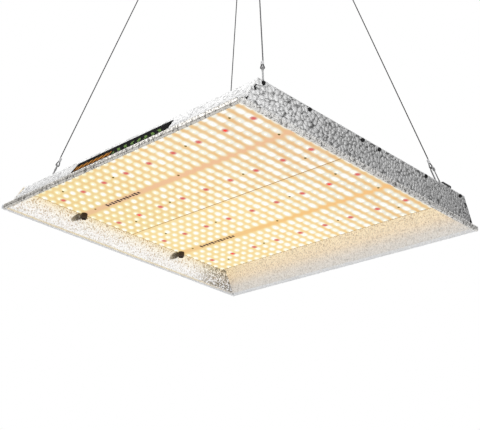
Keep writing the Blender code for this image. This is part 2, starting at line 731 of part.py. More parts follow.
def make_cord_tie():
    """A flat strap around the stacked turns of the coil."""
    inner_half = CORD + TIE_CLEARANCE
    low = COIL_PITCH / 2 - inner_half
    high = COIL_PITCH * (COIL_TURNS - 0.5) + inner_half
    outlines = [
        rectangle(-inner_half - grow, inner_half + grow, low - grow, high + grow) for grow in (TIE_THICKNESS, 0)
    ]
    made = plate("cord_tie", outlines, -TIE_WIDTH / 2, TIE_WIDTH / 2, BLACK_RUBBER)
    made.data.transform(Matrix.Rotation(math.pi / 2, 4, "X"))
    made.location = COIL_CENTRE - Vector((COIL_RADIUS, 0, 0))
    return made


# ---------------------------------------------------------------- dimmer

def local_frame(origin, along, across):
    """A frame whose Z runs along one direction and whose X runs across it."""
    turn = Matrix((across, along.cross(across), along)).transposed().to_4x4()
    return Matrix.Translation(origin) @ turn


def dimmer_frame():
    """On the box's left face, where the shaft comes out: Z out of the face, X up."""
    face = Vector((DIMMER_X - DIMMER_BOX.x / 2, DIMMER_Y, TOP_REST + DIMMER_BOX.z / 2))
    return local_frame(face, Vector((-1, 0, 0)), Vector((0, 0, 1)))


def make_dimmer_box():
    """A small box, open underneath, with a hole for the shaft and one for the cable."""
    half = DIMMER_BOX / 2
    centre = Vector((DIMMER_X, DIMMER_Y, TOP_REST + half.z))
    made = block("dimmer_box", centre - half, centre + half, BLACK_PLASTIC)
    bevel(made, 1.0 * MM)
    wall = Vector((DIMMER_WALL, DIMMER_WALL, DIMMER_WALL))
    hollow_low = centre - half + wall - Vector((0, 0, 3 * MM))
    hollow = block("hollow", hollow_low, centre + half - wall, BLACK_PLASTIC)
    shaft_hole = rod("shaft_hole", centre, centre - Vector((half.x + MM, 0, 0)), DIMMER_SHAFT + GAP, BLACK_PLASTIC)
    inside = centre - Vector((CABLE_HOLE_OFFSET, 0, 0))
    cable_hole = rod("cable_hole", inside, inside - Vector((0, half.y + MM, 0)), DIMMER_CABLE + GAP, BLACK_PLASTIC)
    return cut_from(made, hollow, shaft_hole, cable_hole)


def make_potentiometer():
    """The dimmer's potentiometer behind the left face of its box, bored for the shaft."""
    face = -DIMMER_WALL - GAP
    half = POTENTIOMETER / 2
    made = block("dimmer_potentiometer", (-half.x, -half.y, face - POTENTIOMETER.z), (half.x, half.y, face),
                 CIRCUIT_GREEN)
    bore = rod("bore", (0, 0, face - SHAFT_IN_BOX - GAP), (0, 0, face + MM), DIMMER_SHAFT + GAP, CIRCUIT_GREEN)
    cut_from(made, bore)
    made.matrix_world = dimmer_frame()
    return made


def make_dimmer_shaft():
    inner_end = -DIMMER_WALL - GAP - SHAFT_IN_BOX
    made = rod("dimmer_shaft", (0, 0, inner_end), (0, 0, KNOB_BORE), DIMMER_SHAFT, PLAIN_ALUMINIUM)
    made.matrix_world = dimmer_frame()
    return shade_round(made)


def make_dimmer_knob():
    """A round knob with a blind bore for the shaft and a pointer groove in its end."""
    profile = [
        (0, KNOB_HEIGHT), (KNOB_RADIUS - 2 * MM, KNOB_HEIGHT), (KNOB_RADIUS - MM, KNOB_HEIGHT - MM),
        (KNOB_RADIUS, 2 * MM), (KNOB_RADIUS, 0), (DIMMER_SHAFT + GAP, 0), (DIMMER_SHAFT + GAP, KNOB_BORE),
        (0, KNOB_BORE),
    ]
    made = turned("dimmer_knob", profile, BLACK_PLASTIC, 24)
    groove = block("groove", (2 * MM, -KNOB_GROOVE, KNOB_HEIGHT - KNOB_GROOVE),
                   (KNOB_RADIUS + MM, KNOB_GROOVE, KNOB_HEIGHT + MM), BLACK_PLASTIC)
    cut_from(made, groove)
    made.matrix_world = dimmer_frame() @ Matrix.Translation((0, 0, GAP))
    return made


def make_dimmer_cable():
    """From the driver's right cap along the hood to the front face of the dimmer box."""
    cap = DRIVER_LENGTH / 2 + GAP
    run_x = DIMMER_X - 34 * MM
    hole_x = DIMMER_X - CABLE_HOLE_OFFSET
    box_front = DIMMER_Y - DIMMER_BOX.y / 2
    box_z = TOP_REST + DIMMER_BOX.z / 2
    low_z = TOP_REST + DIMMER_CABLE + GAP
    corners = [
        (cap - 4 * MM, -CABLE_EXIT_Y, CABLE_EXIT_Z),
        (run_x - 20 * MM, -CABLE_EXIT_Y, CABLE_EXIT_Z),
        (run_x, 20 * MM, low_z),
        (run_x, box_front - 60 * MM, low_z),
        (hole_x, box_front - 32 * MM, low_z),
        (hole_x, box_front - 12 * MM, box_z),
        (hole_x, box_front + 3 * MM, box_z),
    ]
    return tube("dimmer_cable", rounded_path(corners, 6 * MM), DIMMER_CABLE, BLACK_RUBBER)


# ---------------------------------------------------------------- hanging gear

def wire_foot(corner):
    x, y = corner
    return Vector((x * EYE_X, y * EYE_Y, EYE_HEIGHT))


def wire_head(corner):
    """Each wire has its own place on the straight bar of the top hook."""
    x, y = corner
    return GATHER_POINT + Vector((0, y * LOOP_PLACES[x], 0))


def corner_frame(corner):
    """The frame of one hanging point: origin in the eye, Z along its wire, X across its snap hook."""
    foot = wire_foot(corner)
    along = (wire_head(corner) - foot).normalized()
    level = Vector((0, 0, 1)).cross(along).normalized()
    across = Matrix.Rotation(HOOK_TURNS[corner], 3, along) @ level
    return local_frame(foot, along, across)


def make_eye(name, corner):
    """A swaged lifting eye: shank through the pan, round foot, neck and ring."""
    x, y, _ = wire_foot(corner)
    foot_top = TOP_REST + EYE_FOOT_THICKNESS
    profile = [
        (0, TOP_REST + EYE_NECK), (EYE_WIRE, TOP_REST + EYE_NECK), (0.6 * EYE_FOOT, foot_top),
        (EYE_FOOT, foot_top), (EYE_FOOT, TOP_REST), (EYE_SHANK, TOP_REST),
        (EYE_SHANK, HOOD_HEIGHT - SHEET), (0, HOOD_HEIGHT - SHEET),
    ]
    made = turned(name, profile, BRIGHT_STEEL)
    steps = 8
    angles = [math.pi / 2 - 2 * math.pi * i / steps for i in range(steps)]
    section = [(EYE_RING + EYE_WIRE * math.cos(a), EYE_WIRE * math.sin(a)) for a in angles]
    ring = turned("ring", section, BRIGHT_STEEL, closed=True)
    across = corner_frame(corner).to_3x3().col[0]
    turn = across.to_track_quat("Z", "Y").to_matrix().to_4x4()
    ring.data.transform(Matrix.Translation((0, 0, EYE_HEIGHT)) @ turn)
    join_to(made, ring)
    made.location = (x, y, 0)
    return shade_round(made)


def gate_pivot(size):
    """Height of the gate's pin above the hook's far end."""
    return size["length"] - size["corner"] - 2.6 * size["wire"]


def gate_nose(size):
    return size["corner"] + 1.5 * size["wire"]


def make_snap_hook(name, frame, size):
    """Bent wire with a gap on one side, and a forked end with a pin that carries the gate."""
    wire = size["wire"]
    width = size["half_width"]
    pivot = gate_pivot(size)
    path = rounded_path([
        (width, 0, pivot + 2 * wire),
        (width, 0, size["length"]),
        (-width, 0, size["length"]),
        (-width, 0, 0),
        (width, 0, 0),
        (width, 0, gate_nose(size)),
    ], size["corner"])
    made = tube(name, path, wire, BRIGHT_STEEL)
    fork = block("fork", (width - wire, -1.3 * wire, pivot - 1.4 * wire),
                 (width + wire, 1.3 * wire, pivot + 2.9 * wire), BRIGHT_STEEL)
    slot = block("slot", (width - 2 * wire, -FORK_SLOT * wire, pivot - 2 * wire),
                 (width + 2 * wire, FORK_SLOT * wire, pivot + 1.7 * wire), BRIGHT_STEEL)
    pin = rod("pin", (width, -1.2 * wire, pivot), (width, 1.2 * wire, pivot), 0.45 * wire, BRIGHT_STEEL, 12)
    join_to(made, fork)
    cut_from(made, slot)
    join_to(made, pin)
    made.matrix_world = frame
    return made


def make_gate(name, frame, size):
    """A round gate with a flat drilled tongue that turns on the hook's pin."""
    wire = size["wire"]
    pivot = gate_pivot(size)
    reach = pivot - gate_nose(size) - GAP
    tongue_half = (FORK_SLOT - 0.28) * wire
    made = block(name, (-0.7 * wire, -tongue_half, -3 * wire), (0.7 * wire, tongue_half, 0), BRIGHT_STEEL)
    rim = 0.98 * tongue_half
    eye = rod("gate_eye", (0, -rim, 0), (0, rim, 0), 1.25 * wire, BRIGHT_STEEL, 16)
    bar = rod("bar", (0, 0, -2.4 * wire), (0, 0, -reach), 0.78 * wire, BRIGHT_STEEL)
    pin_hole = rod("pin_hole", (0, -wire, 0), (0, wire, 0), 0.45 * wire + GAP, BRIGHT_STEEL)
    join_to(made, eye, bar)
    cut_from(made, pin_hole)
    made.matrix_world = frame @ Matrix.Translation((size["half_width"], 0, pivot))
    return shade_round(made)


def loop_path(crown, away, side, size):
    """A teardrop end loop, from its cut tail round the crown to the running strand."""
    radius = size["radius"]
    centre = crown + away * radius
    mouth = crown + away * size["length"]
    tail = mouth + away * (size["ferrule"] - MM)
    steps = 10
    path = [tail - side * WIRE_STRAND, mouth - side * WIRE_STRAND]
    for i in range(steps + 1):
        angle = LOOP_WRAP * (2 * i / steps - 1)
        path.append(centre - away * radius * math.cos(angle) + side * radius * math.sin(angle))
    path.append(mouth + side * WIRE_STRAND)
    path.append(mouth + away * size["ferrule"] + side * WIRE_STRAND)
    return path


def make_ferrule(crown, away, side, size):
    """The pressed sleeve that closes one end loop."""
    made = rod("ferrule", (0, 0, 0), (0, 0, size["ferrule"]), 1, WIRE_STEEL)
    shape = Matrix.Diagonal((size["half_width"], FERRULE_DEPTH, 1, 1))
    made.data.transform(local_frame(crown + away * size["length"], away, side) @ shape)
    return made


def make_hanging_wire(name, corner):
    """A steel wire with a pressed loop at each end, tight between snap hook and top hook."""
    foot = wire_foot(corner)
    head = wire_head(corner)
    along = (head - foot).normalized()
    low_side = corner_frame(corner).to_3x3().col[1]
    high_side = (Vector((1, 0, 0)) - along * along.x).normalized()
    low_crown = foot + along * (hook_foot() + SMALL_HOOK["length"] - SMALL_HOOK["wire"] - WIRE - GAP)
    high_crown = head + along * (TOP_HOOK["wire"] + WIRE + 2 * GAP)
    low_loop = loop_path(low_crown, along, low_side, LOWER_LOOP)
    high_loop = loop_path(high_crown, -along, high_side, UPPER_LOOP)
    made = tube(name, low_loop + high_loop[::-1], WIRE, WIRE_STEEL, 1)
    low_ferrule = make_ferrule(low_crown, along, low_side, LOWER_LOOP)
    high_ferrule = make_ferrule(high_crown, -along, high_side, UPPER_LOOP)
    return join_to(made, low_ferrule, high_ferrule)


def hook_foot():
    """How far up the wire a snap hook starts, hooked inside its eye's ring."""
    return EYE_RING - EYE_WIRE - SMALL_HOOK["wire"] - GAP


def make_hanging_gear():
    for corner_name, corner in CORNERS.items():
        frame = corner_frame(corner) @ Matrix.Translation((0, 0, hook_foot()))
        make_eye(f"hanging_eye_{corner_name}", corner)
        make_snap_hook(f"snap_hook_{corner_name}", frame, SMALL_HOOK)
        make_gate(f"hook_gate_{corner_name}", frame, SMALL_HOOK)
        make_hanging_wire(f"hanging_wire_{corner_name}", corner)
    top = GATHER_POINT + Vector((0, 0, TOP_HOOK["length"]))
    top_frame = local_frame(top, Vector((0, 0, -1)), Vector((0, 1, 0)))
    make_snap_hook("top_hook", top_frame, TOP_HOOK)
    make_gate("top_hook_gate", top_frame, TOP_HOOK)


def main():
    for existing in list(bpy.data.objects):
        bpy.data.objects.remove(existing)
    bpy.context.scene.collection.children.link(PARTS)
    make_hood_pan()
    for side_name, side in (("left", -1), ("right", 1)):
        make_end_plate(f"end_plate_{side_name}", side)
        make_end_screws(side, side_name)
        make_driver_cap(f"driver_end_cap_{side_name}", side)
    make_label()
    make_spreader()
    for side_name, side in (("front", -1), ("rear", 1)):
        make_led_board(f"led_board_{side_name}", side)
        make_gland(f"cable_gland_{side_name}", side)
        make_gland_nut(f"gland_nut_{side_name}", side)
        make_dc_cable(f"dc_cable_{side_name}", side)
    make_driver_case()
    make_driver_screws()
    make_driver_circuit()
    make_mains_cord()
    make_mains_plug()
    make_cord_tie()
    make_dimmer_box()
    make_potentiometer()
    make_dimmer_shaft()
    make_dimmer_knob()
    make_dimmer_cable()
    make_hanging_gear()


main()
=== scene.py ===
"""Looks of the LED grow light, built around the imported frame.

The folded hood gets its hammered relief, the boards get their LEDs and glow, and the wires, cords,
screws, glands and knob get finer shapes.  Frame: metres, +Z up, the open rim on z = 0, LEDs facing -Z.
"""
import math

import bpy
import numpy as np
from mathutils import Matrix, Vector, noise


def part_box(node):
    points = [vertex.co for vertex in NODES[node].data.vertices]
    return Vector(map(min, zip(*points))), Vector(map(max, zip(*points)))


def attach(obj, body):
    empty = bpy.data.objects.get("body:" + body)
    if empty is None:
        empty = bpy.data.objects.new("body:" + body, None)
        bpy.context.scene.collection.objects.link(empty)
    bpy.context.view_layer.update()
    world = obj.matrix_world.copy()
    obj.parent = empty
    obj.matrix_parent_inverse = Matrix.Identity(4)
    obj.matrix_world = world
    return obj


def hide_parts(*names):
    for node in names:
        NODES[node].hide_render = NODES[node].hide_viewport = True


MM = 0.001

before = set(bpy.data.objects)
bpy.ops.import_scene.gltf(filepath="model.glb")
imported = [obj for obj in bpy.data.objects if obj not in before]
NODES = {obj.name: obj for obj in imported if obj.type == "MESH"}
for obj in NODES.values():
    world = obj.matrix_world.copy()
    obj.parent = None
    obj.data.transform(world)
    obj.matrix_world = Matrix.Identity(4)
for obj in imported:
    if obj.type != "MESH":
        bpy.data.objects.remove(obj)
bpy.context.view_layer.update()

# Hood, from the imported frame.
HOOD_LOW, HOOD_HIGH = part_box("hood_pan")
PLATE_LOW, PLATE_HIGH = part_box("end_plate_right")
HOOD_TOP = HOOD_HIGH.z
RIM_X = PLATE_HIGH.x
RIM_Y = HOOD_HIGH.y
SHEET = 1.2 * MM
FOLD = 1.3 * MM                     # bend radius of the sheet's middle
LIP_OUT = 4.5 * MM
LIP_UP = 7.0 * MM
LEAN = 24.4 * MM                    # how far the sloped walls lean in
RELIEF = 0.46 * MM                  # depth of the creases between the hammered pebbles
WALL_STEP = 1.25 * MM
TOP_STEP = 2.0 * MM
TOP_SEAM = 12 * MM                  # how far the wall pieces reach over the top
PEBBLE = 4.6 * MM
INNER_PEBBLE = 3.2 * MM
FRONT_PEBBLE = 7.6 * MM             # the end plates' pebbles grow finer from front to rear
REAR_PEBBLE = 3.6 * MM

# LED lattice on each board.
BOARDS = {side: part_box(f"led_board_{side}") for side in ("front", "rear")}
BOARD_FACE = BOARDS["front"][0].z
BOARD_MIDDLE_X = (BOARDS["front"][0].x + BOARDS["front"][1].x) / 2
COLUMNS = 27
COLUMN_PITCH = 16.6 * MM
LATTICE_X = BOARD_MIDDLE_X - 3.4 * MM
LATTICE_Y = 2.8 * MM                # how far the rows sit behind the middle of their board
ROW_PITCH = 15.1 * MM
FIRST_ROW = 14.2 * MM               # first row's distance from the middle of its board
HALF_ROWS = 6
RED_ROW = FIRST_ROW + 2.5 * ROW_PITCH
DEEP_RED = {-1: 7, 1: 1}            # which red LED of each half board is the deep one
CHIP = Vector((2.8 * MM, 3.4 * MM, 0.75 * MM))


def middle_of(node):
    low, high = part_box(node)
    return (low + high) / 2


def board_middle_y(side):
    return middle_of(f"led_board_{side}").y


# ---------- node graphs

class Graph:
    """The node tree of a new material, or of an owner, with short ways to add and join nodes."""

    def __init__(self, name, owner=None):
        self.owner = owner or bpy.data.materials.new(name)
        self.owner.use_nodes = True
        self.tree = self.owner.node_tree
        self.shader = self.tree.nodes.get("Principled BSDF")

    def put(self, socket, value):
        if isinstance(value, bpy.types.NodeSocket):
            self.tree.links.new(value, socket)
        elif isinstance(value, tuple) and len(value) == 3 and socket.type == "RGBA":
            socket.default_value = (*value, 1)
        else:
            socket.default_value = value

    def add(self, kind, inputs=None, **settings):
        node = self.tree.nodes.new(kind)
        for key, value in settings.items():
            setattr(node, key, value)
        for key, value in (inputs or {}).items():
            self.put(node.inputs[key], value)
        return node

    def math(self, operation, *values, clamp=False):
        node = self.add("ShaderNodeMath", operation=operation, use_clamp=clamp)
        for socket, value in zip(node.inputs, values):
            self.put(socket, value)
        return node.outputs[0]

    def times(self, *values):
        return self.math("MULTIPLY", *values)

    def plus(self, *values):
        return self.math("ADD", *values)

    def minus(self, *values):
        return self.math("SUBTRACT", *values)

    def over(self, *values):
        return self.math("DIVIDE", *values)

    def square(self, value):
        return self.math("POWER", value, 2.0)

    def between(self, value, low, high):
        return self.times(self.math("GREATER_THAN", value, low), self.math("LESS_THAN", value, high))

    def mix(self, factor, first, second):
        node = self.add("ShaderNodeMix", data_type="RGBA")
        self.put(node.inputs[0], factor)
        self.put(node.inputs[6], first)
        self.put(node.inputs[7], second)
        return node.outputs[2]

    def scale(self, vector, factor):
        node = self.add("ShaderNodeVectorMath", operation="SCALE")
        self.put(node.inputs[0], vector)
        self.put(node.inputs["Scale"], factor)
        return node.outputs[0]

    def ramp(self, factor, stops):
        """A colour ramp through (place, colour) stops."""
        node = self.add("ShaderNodeValToRGB", {"Fac": factor})
        elements = node.color_ramp.elements
        elements[0].position, elements[0].color = stops[0][0], (*stops[0][1], 1)
        elements[1].position, elements[1].color = stops[-1][0], (*stops[-1][1], 1)
        for place, colour in stops[1:-1]:
            elements.new(place).color = (*colour, 1)
        return node.outputs[0]

    def range(self, value, low, high, start=0.0, end=1.0, smooth=True):
        """Map low..high to start..end, held at both ends."""
        kind = "SMOOTHSTEP" if smooth else "LINEAR"
        node = self.add("ShaderNodeMapRange", interpolation_type=kind)
        for socket, number in zip(node.inputs, (value, low, high, start, end)):
            self.put(socket, number)
        return node.outputs[0]

    def place(self):
        """Object coordinates, as (vector, x, y, z)."""
        vector = self.add("ShaderNodeTexCoord").outputs["Object"]
        split = self.add("ShaderNodeSeparateXYZ", {0: vector})
        return (vector, *split.outputs)

    def grain(self, scale, detail=3.0, vector=None):
        vector = vector or self.add("ShaderNodeTexCoord").outputs["Object"]
        node = self.add("ShaderNodeTexNoise", {"Vector": vector, "Scale": scale, "Detail": detail})
        return node.outputs[0]

    def bump(self, height, depth, strength=1.0):
        node = self.add("ShaderNodeBump", {"Height": height, "Distance": depth, "Strength": strength})
        return node.outputs[0]

    def finish(self, **inputs):
        for key, value in inputs.items():
            self.put(self.shader.inputs[key.replace("_", " ")], value)
        return self.owner


def scaled(colour, factor):
    return tuple(channel * factor for channel in colour)


def tone(red, green, blue):
    """A linear colour from screen levels between 0 and 255."""
    levels = (channel / 255 for channel in (red, green, blue))
    return tuple(level / 12.92 if level < 0.04 else ((level + 0.055) / 1.055) ** 2.4 for level in levels)


# ---------- materials

def hammered(name, crease_shade, crown, roughness, shade=None, glint=0.0):
    """Hammered aluminium: painted shade in its dark creases, bright crowns and a fine mill grain, with
    painted light and shade from a shade(graph).

    A glint lights the end plate's fold along the opening.
    """
    g = Graph(name)
    relief = g.add("ShaderNodeAttribute", attribute_name="relief").outputs["Fac"]
    fine = g.grain(700)
    broad = g.grain(16, 2)
    wobble = g.math("MULTIPLY_ADD", fine, 0.30, -0.15)
    level = g.math("ADD", relief, wobble, clamp=True)
    slope = tuple(low + 0.42 * (high - low) for low, high in zip(crease_shade, crown))
    # The crease colour is painted shade, dark between the pebbles; the ramp rises to the crown colour.
    colour = g.ramp(level, [(0.0, crease_shade), (0.28, slope), (0.48, scaled(crown, 0.90)), (1.0, crown)])
    tinted = g.mix(g.range(broad, 0.4, 0.7, 0.0, 0.18), colour, scaled(crown, 0.72))
    # Painted light and shade across the sheet.
    if shade:
        tinted = g.scale(tinted, shade(g))
    _, x, _, z = g.place()
    outward = g.minus(g.math("ABSOLUTE", x), RIM_X - LIP_OUT)
    fold = g.times(g.range(outward, 0.0, 1.6 * MM, 1.0, 0.0), g.range(z, 1.2 * MM, 2.4 * MM, 1.0, 0.0))
    return g.finish(Base_Color=tinted, Metallic=1.0, Emission_Color=(1.0, 0.99, 0.96),
                    Emission_Strength=g.times(fold, glint),
                    Roughness=g.range(fine, 0.3, 0.7, roughness, roughness + 0.14),
                    Normal=g.bump(fine, 0.12 * MM))


def end_plate_shade(g):
    """The end plates are brightest at their front corner and dullest a third of the way back."""
    _, _, y, _ = g.place()
    front = g.range(y, -RIM_Y, -0.25 * RIM_Y, 1.05, 0.72, smooth=False)
    rear = g.range(y, -0.1 * RIM_Y, 0.3 * RIM_Y, 0.0, 0.12)
    return g.plus(front, rear)


def end_lip_shade(g):
    """The lips of the end plates dull towards the rear."""
    _, _, y, _ = g.place()
    return g.range(y, -RIM_Y, 0.0, 1.1, 0.94, smooth=False)


def side_wall_shade(g):
    """The sloped walls brighten upwards."""
    _, _, _, z = g.place()
    return g.range(z, 0.0, HOOD_TOP, 0.70, 1.0)


def gland_reflection(g, y, z):
    """Where a gland nut is mirrored, smeared, in the upright wall beside it."""
    smears = []
    for side in ("front", "rear"):
        from_y = g.minus(y, middle_of(f"gland_nut_{side}").y - 5 * MM)
        from_z = g.minus(z, 32 * MM)
        along = g.plus(g.times(from_y, 0.77), g.times(from_z, 0.64))
        across = g.minus(g.times(from_z, 0.77), g.times(from_y, 0.64))
        distance = g.plus(g.square(g.over(along, 14 * MM)), g.square(g.over(across, 4.2 * MM)))
        smears.append(g.range(distance, 0.75, 1.7, 1.0, 0.0))
    return g.math("MAXIMUM", *smears)


def lit_inside(name, stops, specks, upright=False):
    """The inside of the reflector, flooded by the LEDs, with warm specks.

    The upright walls also mirror the gland nuts and are dim in their rear corner.
    """
    g = Graph(name)
    relief = g.add("ShaderNodeAttribute", attribute_name="relief").outputs["Fac"]
    _, _, y, z = g.place()
    height = g.range(z, 0.0, BOARD_FACE, smooth=False)
    light = g.ramp(height, stops)
    spots = g.range(g.grain(400, 2), 0.55, 0.60)
    speck_colour = g.mix(height, tone(170, 160, 150), tone(166, 122, 68))
    amount = g.times(spots, g.range(height, 0.0, 1.0, 0.7 * specks, specks))
    light = g.mix(amount, light, speck_colour)
    if upright:
        slanted = g.math("MULTIPLY_ADD", z, -0.5, y)
        corner = g.range(slanted, 0.48 * RIM_Y, 0.80 * RIM_Y)
        dots = g.range(g.grain(340, 2), 0.46, 0.52, 0.06, 1.0)
        light = g.mix(g.times(corner, dots), light, tone(44, 30, 3))
        broken = g.range(g.grain(300, 2), 0.32, 0.44, 0.70, 1.0)
        smear = g.times(gland_reflection(g, y, z), broken)
        light = g.mix(smear, light, tone(26, 11, 2))
    mill = g.range(g.grain(520, 2), 0.36, 0.64, 0.86, 1.08)
    strength = g.times(g.range(relief, 0.0, 0.6, 0.54, 0.84), mill)
    return g.finish(Base_Color=(0.30, 0.30, 0.29), Metallic=0.7, Roughness=0.42,
                    Emission_Color=light, Emission_Strength=strength, Normal=g.bump(g.grain(700), 0.1 * MM))


def mottled(name, colour, roughness, metallic=0.0, grain_scale=900, depth=0.05 * MM, spread=0.25):
    """A plain finish with its own fine grain, slow colour drift and worn sheen."""
    g = Graph(name)
    fine = g.grain(grain_scale)
    slow = g.grain(35, 3)
    drift = g.range(slow, 0.3, 0.7, 0.0, 1.0)
    lighter = tuple(min(1.0, channel * (1 + spread) + 0.01 * spread) for channel in colour)
    shades = g.mix(drift, scaled(colour, 1 - spread), lighter)
    return g.finish(Base_Color=shades, Metallic=metallic,
                    Roughness=g.range(slow, 0.3, 0.7, roughness - 0.07, roughness + 0.07),
                    Normal=g.bump(fine, depth))


def led_board():
    """White-masked board flooded by its own LEDs: peach between them, white ovals round each."""
    g = Graph("led_board_glow")
    _, x, y, _ = g.place()
    front_y = board_middle_y("front")
    across = g.range(x, BOARDS["front"][0].x, BOARDS["front"][1].x, smooth=False)
    rear = g.math("GREATER_THAN", y, 0.0)

    row_y = g.minus(y, LATTICE_Y)
    centred = g.minus(g.math("ABSOLUTE", row_y), abs(front_y))
    from_strip = g.math("ABSOLUTE", centred)
    row = g.over(g.minus(from_strip, FIRST_ROW), ROW_PITCH)
    nearest = g.math("MINIMUM", g.math("MAXIMUM", g.math("ROUND", row), 0.0), HALF_ROWS - 1.0)
    off_row = g.times(g.minus(row, nearest), ROW_PITCH)
    side = g.times(g.math("SIGN", centred), g.math("SIGN", row_y))
    off_y = g.minus(g.times(off_row, side), 1.0 * MM)

    column = g.over(g.minus(x, LATTICE_X), COLUMN_PITCH)
    column_index = g.math("ROUND", column)
    lean = g.times(off_y, g.range(across, 0.1, 0.8, 0.42, 0.06))
    off_x = g.plus(g.times(g.minus(column, column_index), COLUMN_PITCH), lean)

    cell = g.add("ShaderNodeCombineXYZ", {0: column_index, 1: g.math("MULTIPLY_ADD", nearest, side, rear)})
    chance = g.add("ShaderNodeTexWhiteNoise", {0: cell.outputs[0]}, noise_dimensions="3D").outputs["Value"]
    cool = g.math("GREATER_THAN", chance, 0.66)

    half_long = g.range(across, 0.15, 0.85, 6.4 * MM, 12.0 * MM)
    swell = g.math("MULTIPLY_ADD", cool, 0.10, 0.96)
    wide = g.over(off_x, g.times(5.9 * MM, swell))
    long = g.over(off_y, g.times(half_long, swell))
    spread = g.plus(g.square(wide), g.square(long))
    lobe = g.math("EXPONENT", g.times(spread, -1.15))

    red_off_y = g.minus(from_strip, RED_ROW)
    red_column = g.over(g.minus(column, 1.0 - (COLUMNS - 1) / 2), 3.0)
    red_off_x = g.times(g.minus(red_column, g.math("ROUND", red_column)), 3 * COLUMN_PITCH)
    red_distance = g.math("SQRT", g.plus(g.square(red_off_x), g.square(red_off_y)))
    red = g.range(red_distance, 2.2 * MM, 6.6 * MM, 1.0, 0.0)

    def by_place(front_levels, rear_levels):
        """A colour from its levels at the left, middle and right of the front and of the rear board."""
        ramps = [
            g.ramp(across, [(place, tone(*levels)) for place, levels in zip((0.13, 0.5, 0.87), board_levels)])
            for board_levels in (front_levels, rear_levels)
        ]
        return g.mix(rear, *ramps)

    peach = by_place([(240, 209, 146), (241, 201, 140), (233, 188, 133)],
                     [(248, 218, 154), (249, 211, 145), (236, 191, 129)])
    halo_colour = by_place([(247, 233, 180), (249, 235, 188), (239, 221, 186)],
                           [(249, 239, 192), (251, 240, 194), (238, 223, 187)])
    core_colour = by_place([(248, 243, 210), (252, 251, 237), (243, 242, 234)],
                           [(252, 252, 240), (253, 253, 247), (240, 240, 232)])
    strip_colour = by_place([(236, 195, 150), (241, 194, 152), (238, 191, 149)],
                            [(242, 203, 142), (247, 201, 132), (246, 195, 130)])
    strip = g.range(from_strip, 3.0 * MM, 9.0 * MM, 1.0, 0.0)
    board = g.mix(strip, peach, strip_colour)
    cloud = g.range(g.grain(60, 2), 0.3, 0.7, 0.0, 0.30)
    board = g.mix(cloud, board, g.mix(strip, halo_colour, strip_colour))

    halo = g.mix(g.range(lobe, 0.10, 0.52), board, halo_colour)
    glow = g.mix(g.range(lobe, 0.34, 0.80), halo, g.mix(cool, core_colour, (1.0, 1.0, 0.98)))
    glow = g.mix(red, glow, tone(217, 126, 116))
    return g.finish(Base_Color=scaled((1.0, 0.86, 0.70), 0.03), Roughness=0.6, Specular_IOR_Level=0.02,
                    Emission_Color=glow, Emission_Strength=0.98, Normal=g.bump(g.grain(1500), 0.03 * MM))


def glowing(name, colour, strength):
    """An LED's phosphor: an even glow with a fine noisy sparkle."""
    g = Graph(name)
    sparkle = g.range(g.grain(420, 2), 0.35, 0.65, 0.85, 1.1)
    return g.finish(Base_Color=scaled(colour, 0.5), Roughness=0.3, Emission_Color=colour,
                    Emission_Strength=g.times(sparkle, strength))


def twisted_steel():
    g = Graph("wire_rope_steel")
    fine = g.grain(1400)
    strands = g.ramp(fine, [(0.3, (0.06, 0.06, 0.062)), (0.7, (0.14, 0.14, 0.145))])
    return g.finish(Base_Color=strands, Metallic=0.85, Roughness=0.42, Normal=g.bump(fine, 0.04 * MM))


def label_print():
    """A black label with plain orange shapes on one half and green ones on the other."""
    g = Graph("label_print")
    low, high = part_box("label_plate")
    _, x, _, z = g.place()
    along = g.range(x, low.x, high.x, -1.0, 1.0, smooth=False)
    up = g.range(z, low.z, high.z, 0.0, 1.0, smooth=False)
    in_field = g.times(g.range(up, 0.02, 0.06), g.range(up, 0.46, 0.56, 1.0, 0.0))
    slanted = g.math("MULTIPLY_ADD", up, -0.075, along)
    strokes = g.math("FRACT", g.times(slanted, 9.0))
    thick = g.math("MULTIPLY_ADD", g.grain(14, 1), 0.5, 0.36)
    orange = g.times(g.math("LESS_THAN", strokes, thick), g.between(along, -0.94, -0.16))
    lean = g.math("MULTIPLY_ADD", up, 0.16, along)
    waves = g.add("ShaderNodeTexWave", {"Vector": g.add("ShaderNodeCombineXYZ", {0: lean, 1: up}).outputs[0],
                                        "Scale": 2.3, "Distortion": 3.0, "Detail": 1.0, "Detail Scale": 1.2},
                  wave_type="BANDS", bands_direction="X").outputs["Fac"]
    green = g.times(g.range(waves, 0.58, 0.72), g.between(along, -0.10, 0.92))
    orange_ink = g.mix(up, tone(190, 118, 34), tone(236, 166, 66))
    green_ink = g.mix(up, tone(92, 128, 60), tone(150, 184, 104))
    ink = g.mix(g.times(orange, in_field), (0.004, 0.004, 0.004), orange_ink)
    ink = g.mix(g.times(green, in_field), ink, green_ink)
    fine = g.grain(900)
    return g.finish(Base_Color=ink, Roughness=g.range(fine, 0.3, 0.7, 0.62, 0.78),
                    Specular_IOR_Level=0.03, Normal=g.bump(fine, 0.02 * MM))


